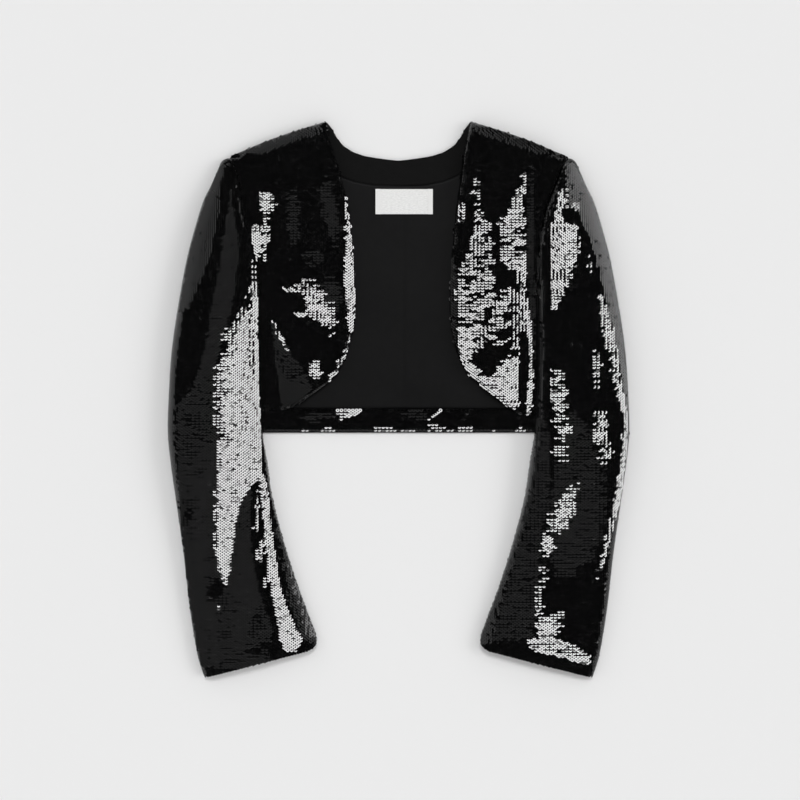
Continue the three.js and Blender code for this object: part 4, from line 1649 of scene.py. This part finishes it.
BLACK_SEQUINS = Spangle("Black Sequins", (0.001, 0.001, 0.0011), 1.55, (0.07, 0.13), 0.24)
BLACK_MESH = Woven("Black Mesh", (0.001, 0.001, 0.001), 0.8, 0.03, 2200.0, 0.3)
CHARCOAL_SATIN = Woven("Charcoal Satin", (0.0052, 0.0052, 0.0054), 0.45, 0.08, 3200.0, 0.12)
BLACK_CREPE = Woven("Black Crepe", (0.0062, 0.0062, 0.0062), 0.85, 0.06, 1800.0, 0.5)
WHITE_LABEL = Woven("White Label", (0.77, 0.77, 0.76), 0.5, 0.35, 5200.0, 0.1)


class Wardrobe:
    """Makes the jacket's materials and the studio round it."""

    def __init__(self) -> None:
        """Builds the shared groups."""
        self.groups = {"block": GroupMaker.block(), "weave": GroupMaker.weave(), "disc": GroupMaker.disc()}

    def start(self, name: str, shader: dict[str, object]) -> tuple[Material, Graph, Node]:
        """Starts a material.

        Args:
            name: its name.
            shader: the plain values of its Principled BSDF.

        Returns:
            The material, its tree and its shader.
        """
        material = bpy.data.materials.new(name)
        material.use_nodes = True
        material.node_tree.nodes.clear()
        graph = Graph(material.node_tree)
        bsdf = graph.add("ShaderNodeBsdfPrincipled", shader)
        graph.add("ShaderNodeOutputMaterial", {"Surface": bsdf.outputs[0]})
        return material, graph, bsdf

    def use(self, graph: Graph, key: str, inputs: dict[str, object]) -> Node:
        """Places one of the groups in a tree.

        Args:
            graph: the tree.
            key: which group.
            inputs: its inputs, each a socket to link or a plain value.

        Returns:
            The group's node.
        """
        node = graph.add("ShaderNodeGroup", node_tree=self.groups[key])
        for name, value in inputs.items():
            graph.feed(node.inputs[name], value)
        return node

    def sequins(self, finish: Spangle) -> Material:
        """Makes flat, mirror-bright plastic with a stitch that reflects nothing, metal as black as the rest.

        Args:
            finish: the sequins' finish.

        Returns:
            The material.
        """
        material, graph, bsdf = self.start(finish.name, {"Base Color": (*finish.color, 1), "IOR": finish.ior})
        uv = graph.add("ShaderNodeTexCoord").outputs["UV"]
        disc = self.use(graph, "disc", {"Vector": uv})
        tone = graph.add("ShaderNodeAttribute", attribute_name="tone").outputs["Fac"]
        gloss = graph.ramp(tone, 0.0, 1.0, *finish.gloss)
        graph.tree.links.new(graph.blend(disc.outputs["Rim"], gloss, finish.rim), bsdf.inputs["Roughness"])
        graph.tree.links.new(disc.outputs["Stitch"], bsdf.inputs["Metallic"])
        return material

    def woven(self, finish: Woven) -> Material:
        """Makes a plain woven cloth.

        Args:
            finish: the cloth's finish.

        Returns:
            The material.
        """
        shader = {"Roughness": finish.roughness, "Specular IOR Level": finish.specular}
        material, graph, bsdf = self.start(finish.name, shader)
        uv = graph.add("ShaderNodeTexCoord").outputs["UV"]
        weave = self.use(graph, "weave", {"Vector": uv, "Threads": finish.threads})
        relief = {"Height": weave.outputs["Height"], "Strength": finish.bump, "Distance": 0.0001}
        raised = graph.add("ShaderNodeBump", relief)
        ends = ((*(c * share for c in finish.color), 1) for share in (1 - finish.uneven, 1 + finish.uneven))
        tinted = graph.tint(weave.outputs["Patchiness"], *ends)
        graph.tree.links.new(tinted, bsdf.inputs["Base Color"])
        graph.tree.links.new(raised.outputs["Normal"], bsdf.inputs["Normal"])
        return material

    def floor(self) -> Material:
        """A plain pale surface."""
        shader = {"Base Color": (0.83, 0.83, 0.83, 1), "Roughness": 0.9, "Specular IOR Level": 0.1}
        return self.start("Pale Surface", shader)[0]

    def studio(self) -> None:
        """Lights the scene from a plain studio: a pale room, a softbox and a dark ceiling over the camera."""
        world = bpy.data.worlds.new("Studio")
        bpy.context.scene.world = world
        world.use_nodes = True
        world.node_tree.nodes.clear()
        graph = Graph(world.node_tree)
        way = graph.add("ShaderNodeTexCoord").outputs["Generated"]
        split = graph.add("ShaderNodeSeparateXYZ", {0: way})
        leans = []
        for k in (0, 1):
            turn = graph.math("ARCTAN2", split.outputs[k], split.outputs[2])
            leans.append(graph.math("MULTIPLY", turn, 180 / math.pi))
        level: object = CEILING
        for zone in ZONES:
            inputs = {"East": leans[0], "North": leans[1], "Soft": zone.soft,
                      "Middle East": zone.east, "Middle North": zone.north,
                      "Half East": zone.half_east, "Half North": zone.half_north}  # fmt: skip
            mask = self.use(graph, "block", inputs)
            mask.label = zone.name
            level = graph.blend(mask.outputs["Mask"], level, zone.radiance)
        light = graph.add("ShaderNodeBackground", {"Color": level, "Strength": 1.0})
        graph.add("ShaderNodeOutputWorld", {"Surface": light.outputs[0]})


# ---- The jacket ----------------------------------------------------------------------------------


@dataclass(frozen=True)
class Cut:
    """What a piece of cloth measures when it lies flat, in metres and square metres."""

    flat: tuple[float, float]
    area: float


@dataclass(frozen=True)
class Label:
    """A plain woven label with its two ends folded, in metres."""

    fold: float = 0.006  # the width of a folded end
    thickness: float = 0.00045
    lift: float = 0.0003  # from the foot of its box to the middle of its face
    rounding: float = 0.00018
    face: float = 0.99  # the face's length as a share of the ends'

    def layer(self, at: Triple, size: Triple, material: Material) -> bpy.types.Object:
        """Builds one layer of cloth.

        Args:
            at: its middle.
            size: its size.
            material: its material.

        Returns:
            The layer, with its modifier applied.
        """
        fresh()
        bpy.ops.mesh.primitive_cube_add(size=1, location=at)
        layer = bpy.context.active_object
        layer.scale = size
        bpy.ops.object.transform_apply(location=True, rotation=True, scale=True)
        edge = layer.modifiers.new("Edge", "BEVEL")
        edge.width, edge.segments = self.rounding, 2
        apply_modifiers(layer)
        paint(layer, material)
        return layer

    def build(self, low: Vector, high: Vector, material: Material) -> bpy.types.Object:
        """Builds the face and the folded ends as one object.

        Args:
            low: the lowest corner of the label's box.
            high: its highest corner.
            material: the label's material.

        Returns:
            The label.
        """
        middle, size = (low + high) / 2, high - low
        level = low.z + self.lift
        face = (size.x, size.y * self.face, self.thickness)
        layers = [self.layer((middle.x, middle.y, level), face, material)]
        for way in (-1, 1):
            at = (middle.x + way * (size.x - self.fold) / 2, middle.y, level + self.thickness)
            layers.append(self.layer(at, (self.fold, size.y, self.thickness), material))
        fresh()
        for layer in layers:
            layer.select_set(True)
        bpy.context.view_layer.objects.active = layers[0]
        bpy.ops.object.join()
        label = bpy.context.active_object
        label.name = label.data.name = "cloth_neck_label"
        return label


class Jacket:
    """Builds every piece round the CAD frame and declares what each stands for."""

    def __init__(self, wardrobe: Wardrobe) -> None:
        """Makes the materials.

        Args:
            wardrobe: what makes them.
        """
        self.rng = np.random.default_rng(SEED)
        self.sequin = wardrobe.sequins(BLACK_SEQUINS)
        self.mesh = wardrobe.woven(BLACK_MESH)
        self.satin = wardrobe.woven(CHARCOAL_SATIN)
        self.crepe = wardrobe.woven(BLACK_CREPE)
        self.label = wardrobe.woven(WHITE_LABEL)

    def declare(self, obj: bpy.types.Object, nodes: tuple[str, ...]) -> None:
        """Says which CAD nodes an object stands for.

        Args:
            obj: the object.
            nodes: the nodes.
        """
        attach(obj, "root")
        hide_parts(*nodes)

    def build_cloth(self, panel: Panel, materials: Faces) -> bpy.types.Object:
        """Builds the shell of a panel.

        Args:
            panel: the piece of cloth.
            materials: those of its outer and its inner face.

        Returns:
            The shell.
        """
        shell = cloth_shell(f"cloth_{panel.name}", panel.cloth(), panel.faces_up, materials)
        self.declare(shell, panel.nodes())
        return shell

    def build_sequins(self, panel: Panel, lots: list[Scatter], sides: int) -> bpy.types.Object:
        """Builds the sequins of a panel.

        Args:
            panel: the piece of cloth.
            lots: the sequins on it.
            sides: how many sides each of them has.

        Returns:
            The sequins as one mesh object.
        """
        lot = Scatter.joined(lots).rested()
        sequins = sequin_mesh(f"sequins_{panel.name}", lot, sides, self.sequin)
        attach(sequins, "root")
        return sequins

    def sequinned(self, panel: Panel, cut: Cut, sides: int, *extra: Scatter) -> None:
        """Builds a panel of sequinned cloth.

        Args:
            panel: the piece of cloth.
            cut: what it measures when it lies flat; not used.
            sides: how many sides each of its sequins has.
            extra: sequins that its own rows leave out.
        """
        shell = self.build_cloth(panel, (self.mesh, self.satin))
        sequins = self.build_sequins(panel, [laid(panel, self.rng), *extra], sides)

    def build_label(self) -> None:
        """Builds the plain label."""
        low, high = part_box("neck_label")
        label = Label().build(low, high, self.label)
        self.declare(label, ("neck_label",))

    def build(self) -> None:
        """Builds the whole jacket, from the back up."""
        self.sequinned(Back(), Cut((0.40, 0.3625), 0.125), HIDDEN_SIDES)
        self.sequinned(HemBand(), Cut((0.322, 0.0275), 0.00885), SEEN_SIDES, hem_roll(self.rng))
        for side in Side:
            self.sequinned(Front(side=side), Cut((0.152, 0.365), 0.0405), SEEN_SIDES)
            self.sequinned(SleeveTop(side=side), Cut((0.16, 0.61), 0.075), SEEN_SIDES)
            self.sequinned(SleeveUnder(side=side), Cut((0.14, 0.61), 0.060), HIDDEN_SIDES)
        lining = self.build_cloth(Lining(), (self.satin, self.satin))
        facing = self.build_cloth(NeckFacing(), (self.crepe, self.crepe))
        self.build_label()


def build_floor(wardrobe: Wardrobe) -> None:
    """Builds the surface that the jacket lies on.

    Args:
        wardrobe: what makes its material.
    """
    fresh()
    bpy.ops.mesh.primitive_plane_add(size=8)
    floor = bpy.context.active_object
    floor.name = "surface"
    paint(floor, wardrobe.floor())
    floor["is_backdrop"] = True


def build_camera() -> None:
    """Looks straight down on the jacket."""
    data = bpy.data.cameras.new("Overhead")
    data.lens, data.sensor_width = CAMERA_LENS, CAMERA_SENSOR
    camera = bpy.data.objects.new("Overhead", data)
    camera.location = CAMERA_AT * MM
    bpy.context.scene.collection.objects.link(camera)
    bpy.context.scene.camera = camera


def whole_box() -> list[list[float]]:
    """The lowest and highest corner of the whole object, in metres."""
    bpy.context.view_layer.update()
    return [[round(value, 5) for value in corner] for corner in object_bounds()]


def main() -> None:
    """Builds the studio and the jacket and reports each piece."""
    logging.basicConfig(level=logging.INFO, format="%(name)s: %(message)s")
    for obj in list(bpy.data.objects):
        bpy.data.objects.remove(obj)
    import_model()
    frame_box = whole_box()
    bpy.context.scene.view_settings.view_transform = "Standard"
    wardrobe = Wardrobe()
    wardrobe.studio()
    build_floor(wardrobe)
    build_camera()
    Jacket(wardrobe).build()
    total = 0
    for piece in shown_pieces():
        count = sum(len(polygon.vertices) - 2 for polygon in piece.data.polygons)
        LOG.info("%s: %d triangles", piece.name, count)
        total += count
    LOG.info("%d triangles in all", total)
    {"frame": frame_box, "visual": whole_box()}


if __name__ == "__main__":
    main()
